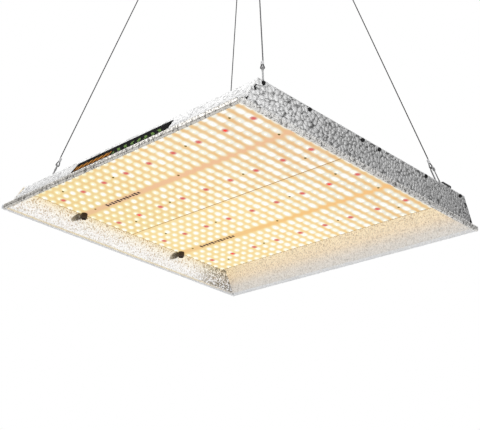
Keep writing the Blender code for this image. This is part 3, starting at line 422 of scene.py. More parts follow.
LOOKS = {
    # These hammered looks are painted lit and shaded copies of one aluminium sheet: the end plates' outer
    # look is painted grey shade, brightened at the front corner; the sloped walls' outer look is painted
    # lighter upwards; the front lip is painted shaded with a warm painted tint of LED spill; the far lips are
    # painted lit; and the right end lip has painted shade towards the rear and a painted glint.
    "outer_end_shaded": hammered("hammered_outer", (0.02, 0.02, 0.021), (0.95, 0.95, 0.95), 0.24, end_plate_shade),
    "end_lip": hammered("hammered_end_lip", (0.06, 0.058, 0.055), (1.0, 0.985, 0.96), 0.30,
                        end_lip_shade, glint=0.9),
    "side_lip": hammered("hammered_side_lip", (0.06, 0.058, 0.054), (0.84, 0.81, 0.76), 0.30),
    "far_lip": hammered("hammered_far_lip", (0.84, 0.85, 0.88), (0.97, 0.98, 1.0), 0.40),
    "outer_light": hammered("hammered_front", (0.16, 0.16, 0.16), (1.0, 1.0, 1.0), 0.32, side_wall_shade),
    "inside_end": lit_inside("hammered_inside_end", [
        (0.0, tone(238, 242, 250)), (0.4, tone(241, 243, 249)),
        (0.75, tone(243, 239, 230)), (1.0, tone(238, 219, 180)),
    ], 0.95, True),
    "inside_wall": lit_inside("hammered_inside_wall", [
        (0.0, tone(196, 194, 192)), (0.35, tone(210, 200, 188)),
        (0.7, tone(233, 208, 170)), (1.0, tone(241, 216, 170)),
    ], 0.60),
    "board": led_board(),
    "cool_led": glowing("cool_white_led", (1.0, 0.99, 0.96), 1.5),
    "warm_led": glowing("warm_white_led", (1.0, 0.97, 0.80), 1.4),
    "red_led": glowing("red_led", tone(204, 86, 82), 0.9),
    "deep_red_led": glowing("deep_red_led", tone(236, 40, 22), 1.0),
    "led_package": glowing("led_package", tone(246, 232, 196), 0.92),
    # Painted shade in the gap between the boards: a dim brown glow, lit warm by the LEDs.
    "board_gap": glowing("board_gap", tone(166, 122, 50), 0.8),
    "wire": twisted_steel(),
    "label": label_print(),
}

# Colour, roughness and, where they differ from a plain matt finish, metallic, grain scale, depth and spread.
PLAIN_FINISHES = {
    "board_screw": ((0.30, 0.22, 0.035), 0.5, 0.2),
    # Painted shadow: the brown lines along the boards' left and rear edges.
    "board_edge": ((0.45, 0.27, 0.08), 0.6),
    "print_brown": ((0.05, 0.016, 0.006), 0.6),
    "gland": ((0.035, 0.018, 0.008), 0.50, 0.0, 700),
    "plain_aluminium": ((0.66, 0.66, 0.67), 0.38, 1.0, 1200, 0.03 * MM, 0.08),
    "black_screw": ((0.020, 0.020, 0.021), 0.36, 0.6, 900, 0.03 * MM),
    "black_plastic": ((0.018, 0.018, 0.019), 0.46, 0.0, 1100, 0.06 * MM),
    "black_rubber": ((0.022, 0.022, 0.023), 0.62, 0.0, 600, 0.05 * MM),
    "powder_coat": ((0.030, 0.031, 0.034), 0.50, 0.3, 1300, 0.09 * MM),
    "circuit": ((0.02, 0.16, 0.07), 0.45),
    "hook_steel": ((0.42, 0.42, 0.425), 0.40, 1.0, 900, 0.03 * MM, 0.12),
    "bright_steel": ((0.56, 0.56, 0.57), 0.24, 1.0, 900, 0.03 * MM, 0.12),
    "ferrule": ((0.78, 0.78, 0.79), 0.46, 1.0, 700, 0.05 * MM, 0.15),
    "white_mark": ((0.75, 0.75, 0.75), 0.6),
}
LOOKS.update({name: mottled(name, *finish) for name, finish in PLAIN_FINISHES.items()})


# ---------- mesh helpers

def add_piece(name, points, faces, look, body="lamp", stands_for=(), smooth=True, sharp=None, ride=True):
    """A new piece from points and faces, riding on a body and standing for CAD nodes."""
    mesh = bpy.data.meshes.new(name)
    mesh.from_pydata([tuple(p) for p in points], [], [tuple(f) for f in faces])
    mesh.materials.append(LOOKS[look])
    if smooth:
        mesh.shade_smooth()
    if sharp:
        mesh.set_sharp_from_angle(angle=math.radians(sharp))
    made = bpy.data.objects.new(name, mesh)
    bpy.context.scene.collection.objects.link(made)
    if ride:
        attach(made, body)
    if stands_for:
        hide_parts(*stands_for)
    return made


def moved(points, matrix):
    """Points (n, 3) through a 4x4 matrix."""
    turn = np.array(matrix.to_3x3())
    return points @ turn.T + np.array(matrix.translation)


def merged(shapes):
    """Join (points, faces) shapes into one."""
    all_points, all_faces, start = [], [], 0
    for points, faces in shapes:
        all_points.append(points)
        all_faces += [tuple(i + start for i in face) for face in faces]
        start += len(points)
    return np.concatenate(all_points), all_faces


def grid_faces(rows, columns, start=0, closed=False, flip=False):
    """Quads of a grid; closed joins the last column to the first."""
    faces = []
    for i in range(rows - 1):
        for j in range(columns if closed else columns - 1):
            k = (j + 1) % columns
            quad = (start + i * columns + j, start + i * columns + k,
                    start + (i + 1) * columns + k, start + (i + 1) * columns + j)
            faces.append(quad[::-1] if flip else quad)
    return faces


def lathe(profile, segments=32, flutes=0, flute_depth=0.0):
    """Turn a closed profile of (radius, height), outer side listed downwards, about Z.

    Flutes cut its widest part.
    """
    widest = max(radius for radius, _ in profile)
    rings = []
    for radius, height in profile:
        angles = np.arange(segments) * 2 * math.pi / segments
        share = max(0.0, (radius - 0.9 * widest) / (0.1 * widest))
        wave = (0.5 + 0.5 * np.cos(flutes * angles)) ** 3
        radii = radius - share * flute_depth * wave
        rings.append(np.stack([radii * np.cos(angles), radii * np.sin(angles), np.full(segments, height)], 1))
    points = np.concatenate(rings + rings[:1])
    faces = grid_faces(len(profile), segments, closed=True, flip=True)
    last = (len(profile) - 1) * segments
    for j in range(segments):
        k = (j + 1) % segments
        faces.append((last + j, j, k, last + k))
    return points[:len(profile) * segments], faces


def screw_head(radius, height, rings=9, segments=32):
    """A domed head with a cross recess, its seat at z = 0."""
    points = [(0.0, 0.0, height * 0.45)]
    for i in range(1, rings + 1):
        share = i / rings
        for j in range(segments):
            angle = 2 * math.pi * j / segments
            x, y = radius * share * math.cos(angle), radius * share * math.sin(angle)
            dome = height * (1 - share ** 2.6) + height * 0.02
            arm = min(abs(x), abs(y)) < 0.16 * radius and max(abs(x), abs(y)) < 0.58 * radius
            points.append((x, y, min(dome, height * 0.45) if arm else dome))
    turns = [2 * math.pi * j / segments for j in range(segments)]
    points += [(radius * math.cos(turn), radius * math.sin(turn), 0.0) for turn in turns]
    faces = [(0, 1 + j, 1 + (j + 1) % segments) for j in range(segments)]
    faces += grid_faces(rings + 1, segments, start=1, closed=True, flip=True)
    bottom = 1 + rings * segments
    faces.append(tuple(bottom + j for j in reversed(range(segments))))
    return np.array(points), faces


def frames_along(path):
    """A side and an up vector at each point of a path, turned as little as possible."""
    path = [Vector(p) for p in path]
    tangents = [(b - a).normalized() for a, b in zip(path, path[1:])]
    tangents.append(tangents[-1])
    side = tangents[0].orthogonal().normalized()
    frames = []
    for tangent in tangents:
        side = (side - tangent * side.dot(tangent)).normalized()
        frames.append((side, tangent.cross(side)))
    return frames


def swept(path, radius, sides=12, lobes=0, lobe_depth=0.0, twist_pitch=0.0):
    """A closed tube along a path; lobes twist along it like the strands of a wire rope."""
    rings = []
    travelled = 0.0
    previous = Vector(path[0])
    for place, (side, up) in zip(path, frames_along(path)):
        travelled += (Vector(place) - previous).length
        previous = Vector(place)
        turn = 2 * math.pi * travelled / twist_pitch if twist_pitch else 0.0
        angles = np.arange(sides) * 2 * math.pi / sides
        radii = radius - lobe_depth * (0.5 - 0.5 * np.cos(lobes * (angles - turn)))
        ring = np.outer(radii * np.cos(angles), np.array(side))
        ring += np.outer(radii * np.sin(angles), np.array(up))
        rings.append(ring + np.array(place))
    points = np.concatenate(rings)
    faces = grid_faces(len(rings), sides, closed=True)
    faces.append(tuple(reversed(range(sides))))
    faces.append(tuple((len(rings) - 1) * sides + j for j in range(sides)))
    return points, faces


def resampled(path, step):
    """The same path with a point every step or so."""
    path = np.array([tuple(p) for p in path], float)
    lengths = np.concatenate([[0], np.cumsum(np.linalg.norm(np.diff(path, axis=0), axis=1))])
    places = np.linspace(0, lengths[-1], max(2, int(lengths[-1] / step) + 1))
    return np.stack([np.interp(places, lengths, path[:, k]) for k in range(path.shape[1])], 1)


def rounded(corners, radius, steps=6):
    """A path through corners with its bends rounded by arcs."""
    corners = [Vector(c) for c in corners]
    path = [corners[0]]
    for before, corner, after in zip(corners, corners[1:], corners[2:]):
        back, ahead = (before - corner).normalized(), (after - corner).normalized()
        half_angle = back.angle(ahead) / 2
        reach = radius / math.tan(half_angle)
        centre = corner + (back + ahead).normalized() * radius / math.sin(half_angle)
        start, end = corner + back * reach - centre, corner + ahead * reach - centre
        sweep = start.angle(end)
        for i in range(steps + 1):
            first = math.sin(sweep * (1 - i / steps)) / math.sin(sweep)
            second = math.sin(sweep * i / steps) / math.sin(sweep)
            path.append(centre + start * first + end * second)
    return path + [corners[-1]]


def soften(node, look, levels=0, angle=38):
    """Give a CAD node its finish, round shading and, for tubes, a smoother surface."""
    target = NODES[node]
    target.data.materials.clear()
    target.data.materials.append(LOOKS[look])
    custom = target.data.attributes.get("custom_normal")
    if custom:
        target.data.attributes.remove(custom)
    target.data.shade_smooth()
    weld = target.modifiers.new("weld", "WELD")
    weld.merge_threshold = 0.00001
    if levels:
        smoother = target.modifiers.new("smoother", "SUBSURF")
        smoother.levels = levels
        smoother.render_levels = levels
    else:
        split = target.modifiers.new("edges", "EDGE_SPLIT")
        split.split_angle = math.radians(angle)
    return target


# ---------- hammered hood

def pebble(u, v, seed):
    """0 in the creases between hammered pebbles, rising to 1 on their crowns."""
    near = noise.voronoi(Vector((u, v, seed)))[0]
    edge = min(1.0, (near[1] - near[0]) / 0.36)
    return edge * (2 - edge) * (1 - 0.18 * min(1.0, near[0]))


def pebbles(u, v, seed):
    flat = [pebble(a, b, seed) for a, b in zip(u.ravel(), v.ravel())]
    return np.array(flat).reshape(u.shape)


def profile_with_normals(corners, step):
    """Points every step along a folded profile, with the normal on its outer side and the length so far."""
    points = resampled([tuple(p)[:2] for p in rounded([(a, b, 0) for a, b in corners], FOLD)], step)
    tangents = np.gradient(points, axis=0)
    tangents /= np.linalg.norm(tangents, axis=1)[:, None]
    normals = np.stack([tangents[:, 1], -tangents[:, 0]], 1)
    lengths = np.concatenate([[0], np.cumsum(np.linalg.norm(np.diff(points, axis=0), axis=1))])
    return points, normals, lengths


def laid_out(x, y, z, shape):
    """Three coordinates, each stretched over one grid."""
    return np.stack([np.broadcast_to(part, shape) for part in (x, y, z)], 2)


def sheet_piece(name, middle, normals, reliefs, looks, stands_for, lip_rows=0):
    """A sheet from its middle surface (rows, columns, 3), both faces pressed in by their relief.

    The first relief and look are those of the face the normals point from; a third look is that of the
    lip, which takes the first lip_rows rows of both faces.
    """
    rows, columns, _ = middle.shape
    half = SHEET / 2
    first, second = (
        middle + sign * normals * (half - RELIEF * (1 - relief))[..., None]
        for sign, relief in zip((1, -1), reliefs)
    )
    count = rows * columns
    points = np.concatenate([first.reshape(-1, 3), second.reshape(-1, 3)])
    faces = grid_faces(rows, columns) + grid_faces(rows, columns, start=count, flip=True)
    border = list(range(columns))
    border += [i * columns + columns - 1 for i in range(1, rows)]
    border += [(rows - 1) * columns + j for j in reversed(range(columns - 1))]
    border += [i * columns for i in reversed(range(1, rows - 1))]
    for a, b in zip(border, border[1:] + border[:1]):
        faces.append((b, a, a + count, b + count))
    made = add_piece(name, points, faces, looks[0], stands_for=stands_for, ride=False)
    for look in looks[1:]:
        made.data.materials.append(LOOKS[look])
    face_count = (rows - 1) * (columns - 1)
    lip_count = lip_rows * (columns - 1)
    marks = np.zeros(len(faces), np.int32)
    marks[face_count:2 * face_count] = 1
    marks[2 * face_count:] = len(looks) - 1
    marks[:lip_count] = 2
    marks[face_count:face_count + lip_count] = 2
    made.data.polygons.foreach_set("material_index", marks)
    attribute = made.data.attributes.new("relief", "FLOAT", "POINT")
    values = np.concatenate([relief.ravel() for relief in reliefs]).astype(np.float32)
    attribute.data.foreach_set("value", values)
    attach(made, "lamp")
    return made


def lip_streaks(along, height, seed):
    """Short upright marks of the folded lip."""
    return pebbles(along / (3.0 * MM), height / (8.0 * MM), seed)


def make_pan_wall(name, side):
    """Lip, sloped wall and first strip of the top, swept along X."""
    half = SHEET / 2
    foot_y = RIM_Y - LIP_OUT
    top_z = HOOD_TOP - half
    corners = [
        (RIM_Y - half, LIP_UP), (RIM_Y - half, half), (foot_y + half, half),
        (foot_y - LEAN, top_z), (foot_y - LEAN - TOP_SEAM, top_z),
    ]
    points, normals, lengths = profile_with_normals(corners, WALL_STEP)
    xs = np.linspace(HOOD_LOW.x, HOOD_HIGH.x, int((HOOD_HIGH.x - HOOD_LOW.x) / WALL_STEP))
    length_grid, x_grid = np.meshgrid(lengths, xs, indexing="ij")
    middle = laid_out(x_grid, side * points[:, :1], points[:, 1:], x_grid.shape)
    inward = -laid_out(0.0, side * normals[:, :1], normals[:, 1:], x_grid.shape)
    is_lip = length_grid < LIP_UP + LIP_OUT
    streaks = lip_streaks(x_grid, length_grid, 7.7)
    relief = np.where(is_lip, streaks, pebbles(x_grid / PEBBLE, length_grid / PEBBLE, 3.3 * side))
    inner = np.where(is_lip, streaks, pebbles(x_grid / INNER_PEBBLE, length_grid / INNER_PEBBLE, 11.1 * side))
    if side < 0:
        middle, inward, relief, inner = (a[:, ::-1] for a in (middle, inward, relief, inner))
    # The front lip takes the painted-shade copy of the hammered look, with a warm painted tint; the rear lip
    # takes the painted-lit copy.
    looks = ("inside_wall", "outer_light", "side_lip" if side < 0 else "far_lip")
    return sheet_piece(name, middle, inward, (inner, relief), looks, ["hood_pan"], is_lip[:, 0].sum())


def make_pan_top():
    """The flat top between the two wall pieces."""
    seam_y = RIM_Y - LIP_OUT - LEAN - TOP_SEAM
    ys = np.linspace(-seam_y, seam_y, int(2 * seam_y / TOP_STEP))
    xs = np.linspace(HOOD_LOW.x, HOOD_HIGH.x, int((HOOD_HIGH.x - HOOD_LOW.x) / TOP_STEP))
    y_grid, x_grid = np.meshgrid(ys, xs, indexing="ij")
    middle = laid_out(x_grid, y_grid, HOOD_TOP - SHEET / 2, x_grid.shape)
    upward = laid_out(0.0, 0.0, 1.0, x_grid.shape)
    relief = pebbles(x_grid / PEBBLE, y_grid / PEBBLE, 5.5)
    reliefs = (relief, np.ones_like(relief))
    looks = ("outer_light", "inside_wall")
    return sheet_piece("hood_top_sheet", middle, upward, reliefs, looks, ["hood_pan"])


def make_end_plate(name, node, side):
    """Lip and upright trapezoid, with pebbles that grow finer towards the rear."""
    half = SHEET / 2
    plate_x = RIM_X - LIP_OUT + half
    corners = [(RIM_X - half, LIP_UP), (RIM_X - half, half), (plate_x, half), (plate_x, HOOD_TOP)]
    points, normals, lengths = profile_with_normals(corners, WALL_STEP)
    heights = points[:, 1]
    on_plate = lengths > LIP_UP + LIP_OUT + 2 * MM
    cover = RIM_Y - LIP_OUT + SHEET + 0.2 * MM
    slope = LEAN / HOOD_TOP
    half_widths = np.where(on_plate & (heights > LIP_UP), cover - slope * heights, RIM_Y)
    shares = np.linspace(-1, 1, int(2 * RIM_Y / WALL_STEP))
    y_grid = half_widths[:, None] * shares[None, :]
    length_grid = np.broadcast_to(lengths[:, None], y_grid.shape)
    middle = laid_out(side * points[:, :1], y_grid, points[:, 1:], y_grid.shape)
    inward = -laid_out(side * normals[:, :1], 0.0, normals[:, 1:], y_grid.shape)
    growth = (REAR_PEBBLE - FRONT_PEBBLE) / (2 * RIM_Y)
    cell = FRONT_PEBBLE + growth * (y_grid + RIM_Y)
    is_lip = length_grid < LIP_UP + LIP_OUT
    streaks = lip_streaks(y_grid, length_grid, 9.9)
    relief = np.where(is_lip, streaks, pebbles(np.log(cell) / growth, length_grid / cell, 2.2 * side))
    inner = np.where(is_lip, streaks, pebbles(y_grid / INNER_PEBBLE, length_grid / INNER_PEBBLE, 13.3 * side))
    if side > 0:
        middle, inward, relief, inner = (a[:, ::-1] for a in (middle, inward, relief, inner))
    # The outer face takes the end plates' painted-shade copy; the right lip takes the copy with painted shade
    # towards the rear and a painted glint, and the left lip takes the painted-lit copy.
    looks = ("inside_end", "outer_end_shaded", "end_lip" if side > 0 else "far_lip")
    return sheet_piece(name, middle, inward, (inner, relief), looks, [node], is_lip[:, 0].sum())


# ---------- light engine

def chip_shape():
    """An LED package hanging under its board: bevelled body with a dished window."""
    half_x, half_y, height = CHIP.x / 2, CHIP.y / 2, CHIP.z
    levels = [(1.0, 0.0), (1.0, -0.75 * height), (0.94, -height), (0.78, -height), (0.72, -0.82 * height)]
    points = [
        (sx * half_x * size, sy * half_y * size, z)
        for size, z in levels for sx, sy in ((-1, -1), (1, -1), (1, 1), (-1, 1))
    ]
    faces = grid_faces(len(levels), 4, closed=True, flip=True)
    window = (19, 18, 17, 16)
    return np.array(points), faces, window


def chip_places(side):
    """(x, y, kind) of each LED of one board."""
    middle_y = board_middle_y(side) + LATTICE_Y
    places = []
    for column in range(COLUMNS):
        x = LATTICE_X + (column - (COLUMNS - 1) / 2) * COLUMN_PITCH
        for half in (-1, 1):
            for row in range(HALF_ROWS):
                kind = "warm" if (column + 2 * row + (half > 0)) % 3 else "cool"
                places.append((x, middle_y + half * (FIRST_ROW + row * ROW_PITCH), kind))
            if column % 3 == 1:
                deep = column // 3 == DEEP_RED[half]
                places.append((x, middle_y + half * RED_ROW, "deep_red" if deep else "red"))
    return places


def make_chips(side):
    points, faces, window = chip_shape()
    for kind in ("cool", "warm", "red", "deep_red"):
        places = [(x, y) for x, y, found in chip_places(side) if found == kind]
        bodies = [(points + np.array((x, y, BOARD_FACE - 0.02 * MM)), faces + [window]) for x, y in places]
        all_points, all_faces = merged(bodies)
        package = f"{kind}_led" if "red" in kind else "led_package"
        made = add_piece(f"{kind}_leds_{side}", all_points, all_faces, package, smooth=False)
        made.data.materials.append(LOOKS[f"{kind}_led"])
        per_chip = len(faces) + 1
        marks = np.zeros(len(all_faces), np.int32)
        marks[per_chip - 1::per_chip] = 1
        made.data.polygons.foreach_set("material_index", marks)


def make_board_screws(side):
    """Small pan heads that hold one board to its spreader."""
    middle_y = board_middle_y(side)
    on_strip = [(-189.5, 0), (0.5, 0), (191.5, 0)]
    beside = ((-176.5, 68), (173.5, 68), (-78.5, 52), (74.5, 52))
    off_strip = [(x, sign * y) for x, y in beside for sign in (-1, 1)]
    head, faces = screw_head(1.9 * MM, 0.9 * MM, 6, 20)
    heads = []
    for x, y in on_strip + off_strip:
        place = Matrix.Translation((BOARD_MIDDLE_X + x * MM, middle_y + y * MM, BOARD_FACE - 0.02 * MM))
        heads.append((moved(head, place @ Matrix.Rotation(math.pi, 4, "X")), faces))
    add_piece(f"board_screws_{side}", *merged(heads), "board_screw", sharp=40)


def make_print_marks(side):
    """A row of plain printed bars on the middle strip, with no lettering."""
    middle_y = board_middle_y(side) + LATTICE_Y
    start = -183 * MM if side == "front" else -191 * MM
    length, thickness = 80 * MM, 0.06 * MM
    heights = (7.5, 4.4, 6.6, 5.2, 7.5, 4.4, 6.0, 7.2, 4.4, 5.2, 7.5, 5.0)
    pitch = length / len(heights)
    shapes = []
    for i, height in enumerate(heights):
        x = start + (i + 0.5) * pitch
        half_x, half_y = 0.33 * pitch, height * MM / 2
        shapes.append(box_shape((x - half_x, middle_y - half_y, BOARD_FACE - thickness),
                                (x + half_x, middle_y + half_y, BOARD_FACE - 0.02 * MM)))
    add_piece(f"printed_bars_{side}", *merged(shapes), "print_brown", smooth=False)


def box_shape(low, high):
    """The points and faces of a box between two corners."""
    low, high = Vector(low), Vector(high)
    points = [(x, y, z) for z in (low.z, high.z) for x, y in
              ((low.x, low.y), (high.x, low.y), (high.x, high.y), (low.x, high.y))]
    faces = [(3, 2, 1, 0), (4, 5, 6, 7), (0, 1, 5, 4), (1, 2, 6, 5), (2, 3, 7, 6), (3, 0, 4, 7)]
    return np.array(points), faces


def make_board_edges():
    """Painted shade in the gap between the two boards, as a dim brown glow, and painted shadow lines along
    the boards' edges at the left and rear walls.
    """
    start, end = BOARDS["front"][0], BOARDS["rear"][1]
    top, low = BOARD_FACE - 0.02 * MM, BOARD_FACE - 0.10 * MM
    # Painted shade in the real gap between the boards, drawn as a dim brown glow.
    gap = box_shape((start.x, -0.8 * MM, low), (end.x, 0.8 * MM, top))
    add_piece("board_gap", *gap, "board_gap", smooth=False)
    # Painted shadow lines along the boards' left and rear edges.
    left = box_shape((start.x, start.y, low), (start.x + 1.1 * MM, end.y, top))
    rear = box_shape((start.x + 1.1 * MM, end.y - 0.9 * MM, low), (end.x, end.y, top))
    add_piece("board_edge_shadows", *merged([left, rear]), "board_edge", smooth=False)


def make_gland_nut(side):
    """A ribbed lock nut with a rounded nose, round the end of the gland."""
    low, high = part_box(f"gland_nut_{side}")
    radius, height = (high.x - low.x) / 2, high.z - low.z
    bore = radius * 0.70
    profile = [(bore, 0), (radius * 0.96, 0), (radius, -0.08 * height), (radius, -0.62 * height),
               (0.95 * radius, -0.76 * height), (0.86 * radius, -0.92 * height), (0.78 * radius, -height),
               (bore, -height), (bore, -0.5 * height)]
    points, faces = lathe(profile, 72, 18, 0.7 * MM)
    centre = middle_of(f"gland_nut_{side}")
    place = Matrix.Translation((centre.x, centre.y, high.z))
    add_piece(f"gland_nut_ribbed_{side}", moved(points, place), faces, "gland",
              stands_for=[f"gland_nut_{side}"], sharp=50)


# ---------- screws

HEAD_RADIUS = 2.9 * MM
HEAD_HEIGHT = 1.9 * MM
HEAD_SEAT = 1.8 * MM                # from the CAD screw's outer end down to the face it clamps


def make_end_screws(side_name, side):
    head, faces = screw_head(HEAD_RADIUS, HEAD_HEIGHT)
    for i in range(1, 7):
        node = f"end_plate_screw_{side_name}_{i}"
        low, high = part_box(node)
        seat = high.x - HEAD_SEAT if side > 0 else low.x + HEAD_SEAT
        turn = Matrix.Rotation(side * math.pi / 2, 4, "Y") @ Matrix.Rotation(0.5 * i, 4, "Z")
        centre = middle_of(node)
        place = Matrix.Translation((seat, centre.y, centre.z))
        made = add_piece(f"end_screw_head_{side_name}_{i}", moved(head, place @ turn), faces, "black_screw",
                         stands_for=[node], sharp=40)


def make_corner_fasteners(side_name, side):
    """Small black V marks beside the sloped edges of an end plate, two short arms each: the plate's small
    fasteners, drawn as the painted shade of their slots.
    """
    cover = RIM_Y - LIP_OUT + SHEET
    slope = LEAN / HOOD_TOP
    seat = side * (RIM_X - LIP_OUT + SHEET)
    inner, outer = sorted((seat, seat + side * 0.7 * MM))
    arm = box_shape((inner, 0, -0.6 * MM), (outer, 4.6 * MM, 0.6 * MM))
    shapes = []
    for height in (31 * MM, 10.5 * MM):
        for edge in (-1, 1):
            corner = Matrix.Translation((0, edge * (cover - slope * height - 3.0 * MM), height))
            for lean in (-52, 52):
                turn = Matrix.Rotation(math.radians(lean), 4, "X")
                points, faces = arm
                if edge > 0:
                    turn = Matrix.Rotation(math.pi, 4, "X") @ turn
                shapes.append((moved(points, corner @ turn), faces))
    add_piece(f"corner_slot_shades_{side_name}", *merged(shapes), "black_screw", smooth=False)


def make_driver_screws():
    head, faces = screw_head(HEAD_RADIUS, HEAD_HEIGHT)
    for i in range(1, 5):
        centre = middle_of(f"driver_screw_{i}")
        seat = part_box(f"driver_screw_{i}")[1].z - HEAD_SEAT
        place = Matrix.Translation((centre.x, centre.y, seat))
        add_piece(f"driver_screw_head_{i}", moved(head, place @ Matrix.Rotation(0.4 * i, 4, "Z")), faces,
                  "black_screw", stands_for=[f"driver_screw_{i}"], sharp=40)


# ---------- dimmer

def make_knob():
    """A fluted knob on the left face of its box, with a dished end and a white pointer line."""
    low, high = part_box("dimmer_knob")
    radius, height = (high.y - low.y) / 2, high.x - low.x
    shaft_low, shaft_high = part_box("dimmer_shaft")
    bore = (shaft_high.y - shaft_low.y) / 2 + 0.3 * MM
    bore_top = high.x - shaft_low.x + 0.3 * MM
    profile = [(0.05 * MM, 0.90 * height), (0.55 * radius, 0.90 * height), (0.72 * radius, 0.94 * height),
               (0.80 * radius, height), (0.86 * radius, height), (0.93 * radius, 0.93 * height),
               (0.95 * radius, 0.82 * height), (radius, 0.2 * height), (radius, 0), (bore, 0),
               (bore, bore_top), (0.05 * MM, bore_top)]
    points, faces = lathe(profile, 96, 24, 0.6 * MM)
    centre = middle_of("dimmer_knob")
    place = Matrix.Translation((high.x, centre.y, centre.z)) @ Matrix.Rotation(-math.pi / 2, 4, "Y")
    made = add_piece("dimmer_knob_fluted", moved(points, place), faces, "black_plastic", "dimmer",
                     ["dimmer_knob"], sharp=35)
    line = [(0.30 * radius, 0, 0.905 * height), (0.74 * radius, 0, 0.945 * height)]
    mark, mark_faces = swept(line, 0.35 * MM, 8)
    add_piece("dimmer_pointer", moved(mark, place), mark_faces, "white_mark", "dimmer")


# ---------- hanging wires

WIRE = 0.85 * MM
STRAND_GAP = 0.95 * MM
LOOP_WRAP = math.radians(102)
LOWER_LOOP = {"radius": 2.35 * MM, "length": 8 * MM, "ferrule": 6 * MM, "half_width": 2.0 * MM}
UPPER_LOOP = {"radius": 4.2 * MM, "length": 20 * MM, "ferrule": 9 * MM, "half_width": 2.4 * MM}
FERRULE_DEPTH = 1.45 * MM
EYE_RISE = 9.5 * MM
EYE_TO_CROWN = 30.0 * MM            # from the middle of an eye, over its snap hook, to the wire's end loop
HOOK_TO_CROWN = 3.6 * MM
TOP_HOOK_WIRE = 2.2 * MM
TOP_PLACES = {1: 1.9 * MM, -1: 4.6 * MM}
CORNERS = {"front_left": (-1, -1), "front_right": (1, -1), "rear_left": (-1, 1), "rear_right": (1, 1)}
HOOK_TURNS = {"front_left": 32, "front_right": 72, "rear_left": 94, "rear_right": 14}


def eye_centre(corner_name):
    centre = middle_of(f"hanging_eye_{corner_name}")
    return Vector((centre.x, centre.y, HOOD_TOP + EYE_RISE))


def loop_path(crown, away, side, size):
    """From the cut tail of an end loop round its crown to the running strand."""
    radius, ferrule = size["radius"], size["ferrule"]
    centre = crown + away * radius
    mouth = crown + away * size["length"]
    steps = 20
    path = [mouth + away * (ferrule - MM) - side * STRAND_GAP, mouth - side * STRAND_GAP]
    for i in range(steps + 1):
        angle = LOOP_WRAP * (2 * i / steps - 1)
        path.append(centre - away * radius * math.cos(angle) + side * radius * math.sin(angle))
    return path + [mouth + side * STRAND_GAP, mouth + away * ferrule + side * STRAND_GAP]


def ferrule_shape(crown, away, side, size):
    """A pressed sleeve, oval, with two crimp grooves."""
    across = away.cross(side)
    sections = [(0.0, 0.86), (0.06, 1.0), (0.24, 1.0), (0.30, 0.84), (0.36, 1.0), (0.62, 1.0), (0.68, 0.84),
                (0.74, 1.0), (0.94, 1.0), (1.0, 0.86)]
    sides = 24
    angles = np.arange(sides) * 2 * math.pi / sides
    rings = []
    for share, swell in sections:
        centre = np.array(crown + away * (size["length"] + share * size["ferrule"]))
        ring = np.outer(size["half_width"] * swell * np.cos(angles), np.array(side))
        ring += np.outer(FERRULE_DEPTH * swell * np.sin(angles), np.array(across))
        rings.append(ring + centre)
    faces = grid_faces(len(rings), sides, closed=True, flip=True)
    faces.append(tuple(range(sides)))
    faces.append(tuple((len(rings) - 1) * sides + j for j in reversed(range(sides))))
    return np.concatenate(rings), faces


def make_wire(corner_name, corner):
    """A twisted steel wire with a pressed loop at each end."""
    foot = eye_centre(corner_name)
    hook = middle_of("top_hook")
    crown_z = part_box("top_hook")[0].z + TOP_HOOK_WIRE
    head = Vector((hook.x, hook.y + corner[1] * TOP_PLACES[corner[0]], crown_z))
    along = (head - foot).normalized()
    level = Vector((0, 0, 1)).cross(along).normalized()
    across = Matrix.Rotation(math.radians(HOOK_TURNS[corner_name]), 3, along) @ level
    low_side = along.cross(across)
    high_side = (Vector((1, 0, 0)) - along * along.x).normalized()
    low_crown = foot + along * EYE_TO_CROWN
    high_crown = head + along * HOOK_TO_CROWN
    path = loop_path(low_crown, along, low_side, LOWER_LOOP)
    path += loop_path(high_crown, -along, high_side, UPPER_LOOP)[::-1]
    rope, faces = swept(resampled(path, 1.3 * MM), WIRE, 14, 7, 0.24 * MM, 11 * MM)
    made = add_piece(f"wire_rope_{corner_name}", rope, faces, "wire",
                     stands_for=[f"hanging_wire_{corner_name}"])
    ferrules = merged([ferrule_shape(low_crown, along, low_side, LOWER_LOOP),
                       ferrule_shape(high_crown, -along, high_side, UPPER_LOOP)])
    add_piece(f"wire_ferrules_{corner_name}", *ferrules, "ferrule", sharp=35)


# ---------- studio

def make_world():
    """White to the camera; to the metal, a studio that is bright overhead and darker round the sides."""
    world = bpy.data.worlds.new("studio")
    bpy.context.scene.world = world
    g = Graph("studio", world)
    g.tree.nodes.clear()
    direction = g.add("ShaderNodeTexCoord").outputs["Generated"]
    height = g.range(g.add("ShaderNodeSeparateXYZ", {0: direction}).outputs[2], -1.0, 1.0, smooth=False)
    levels = [(0.0, 0.62), (0.42, 0.42), (0.55, 0.26), (0.72, 0.34), (0.82, 0.80), (1.0, 1.15)]
    light = g.ramp(height, [(place, (level,) * 3) for place, level in levels])
    patches = g.range(g.grain(3.0, 1.0, direction), 0.40, 0.62, 0.55, 1.7, smooth=False)
    studio = g.add("ShaderNodeBackground", {0: g.scale(light, patches)})
    white = g.add("ShaderNodeBackground", {0: (1.0, 1.0, 1.0)})
    seen = g.add("ShaderNodeLightPath").outputs["Is Camera Ray"]
    choose = g.add("ShaderNodeMixShader", {0: seen, 1: studio.outputs[0], 2: white.outputs[0]})
    g.add("ShaderNodeOutputWorld", {0: choose.outputs[0]})


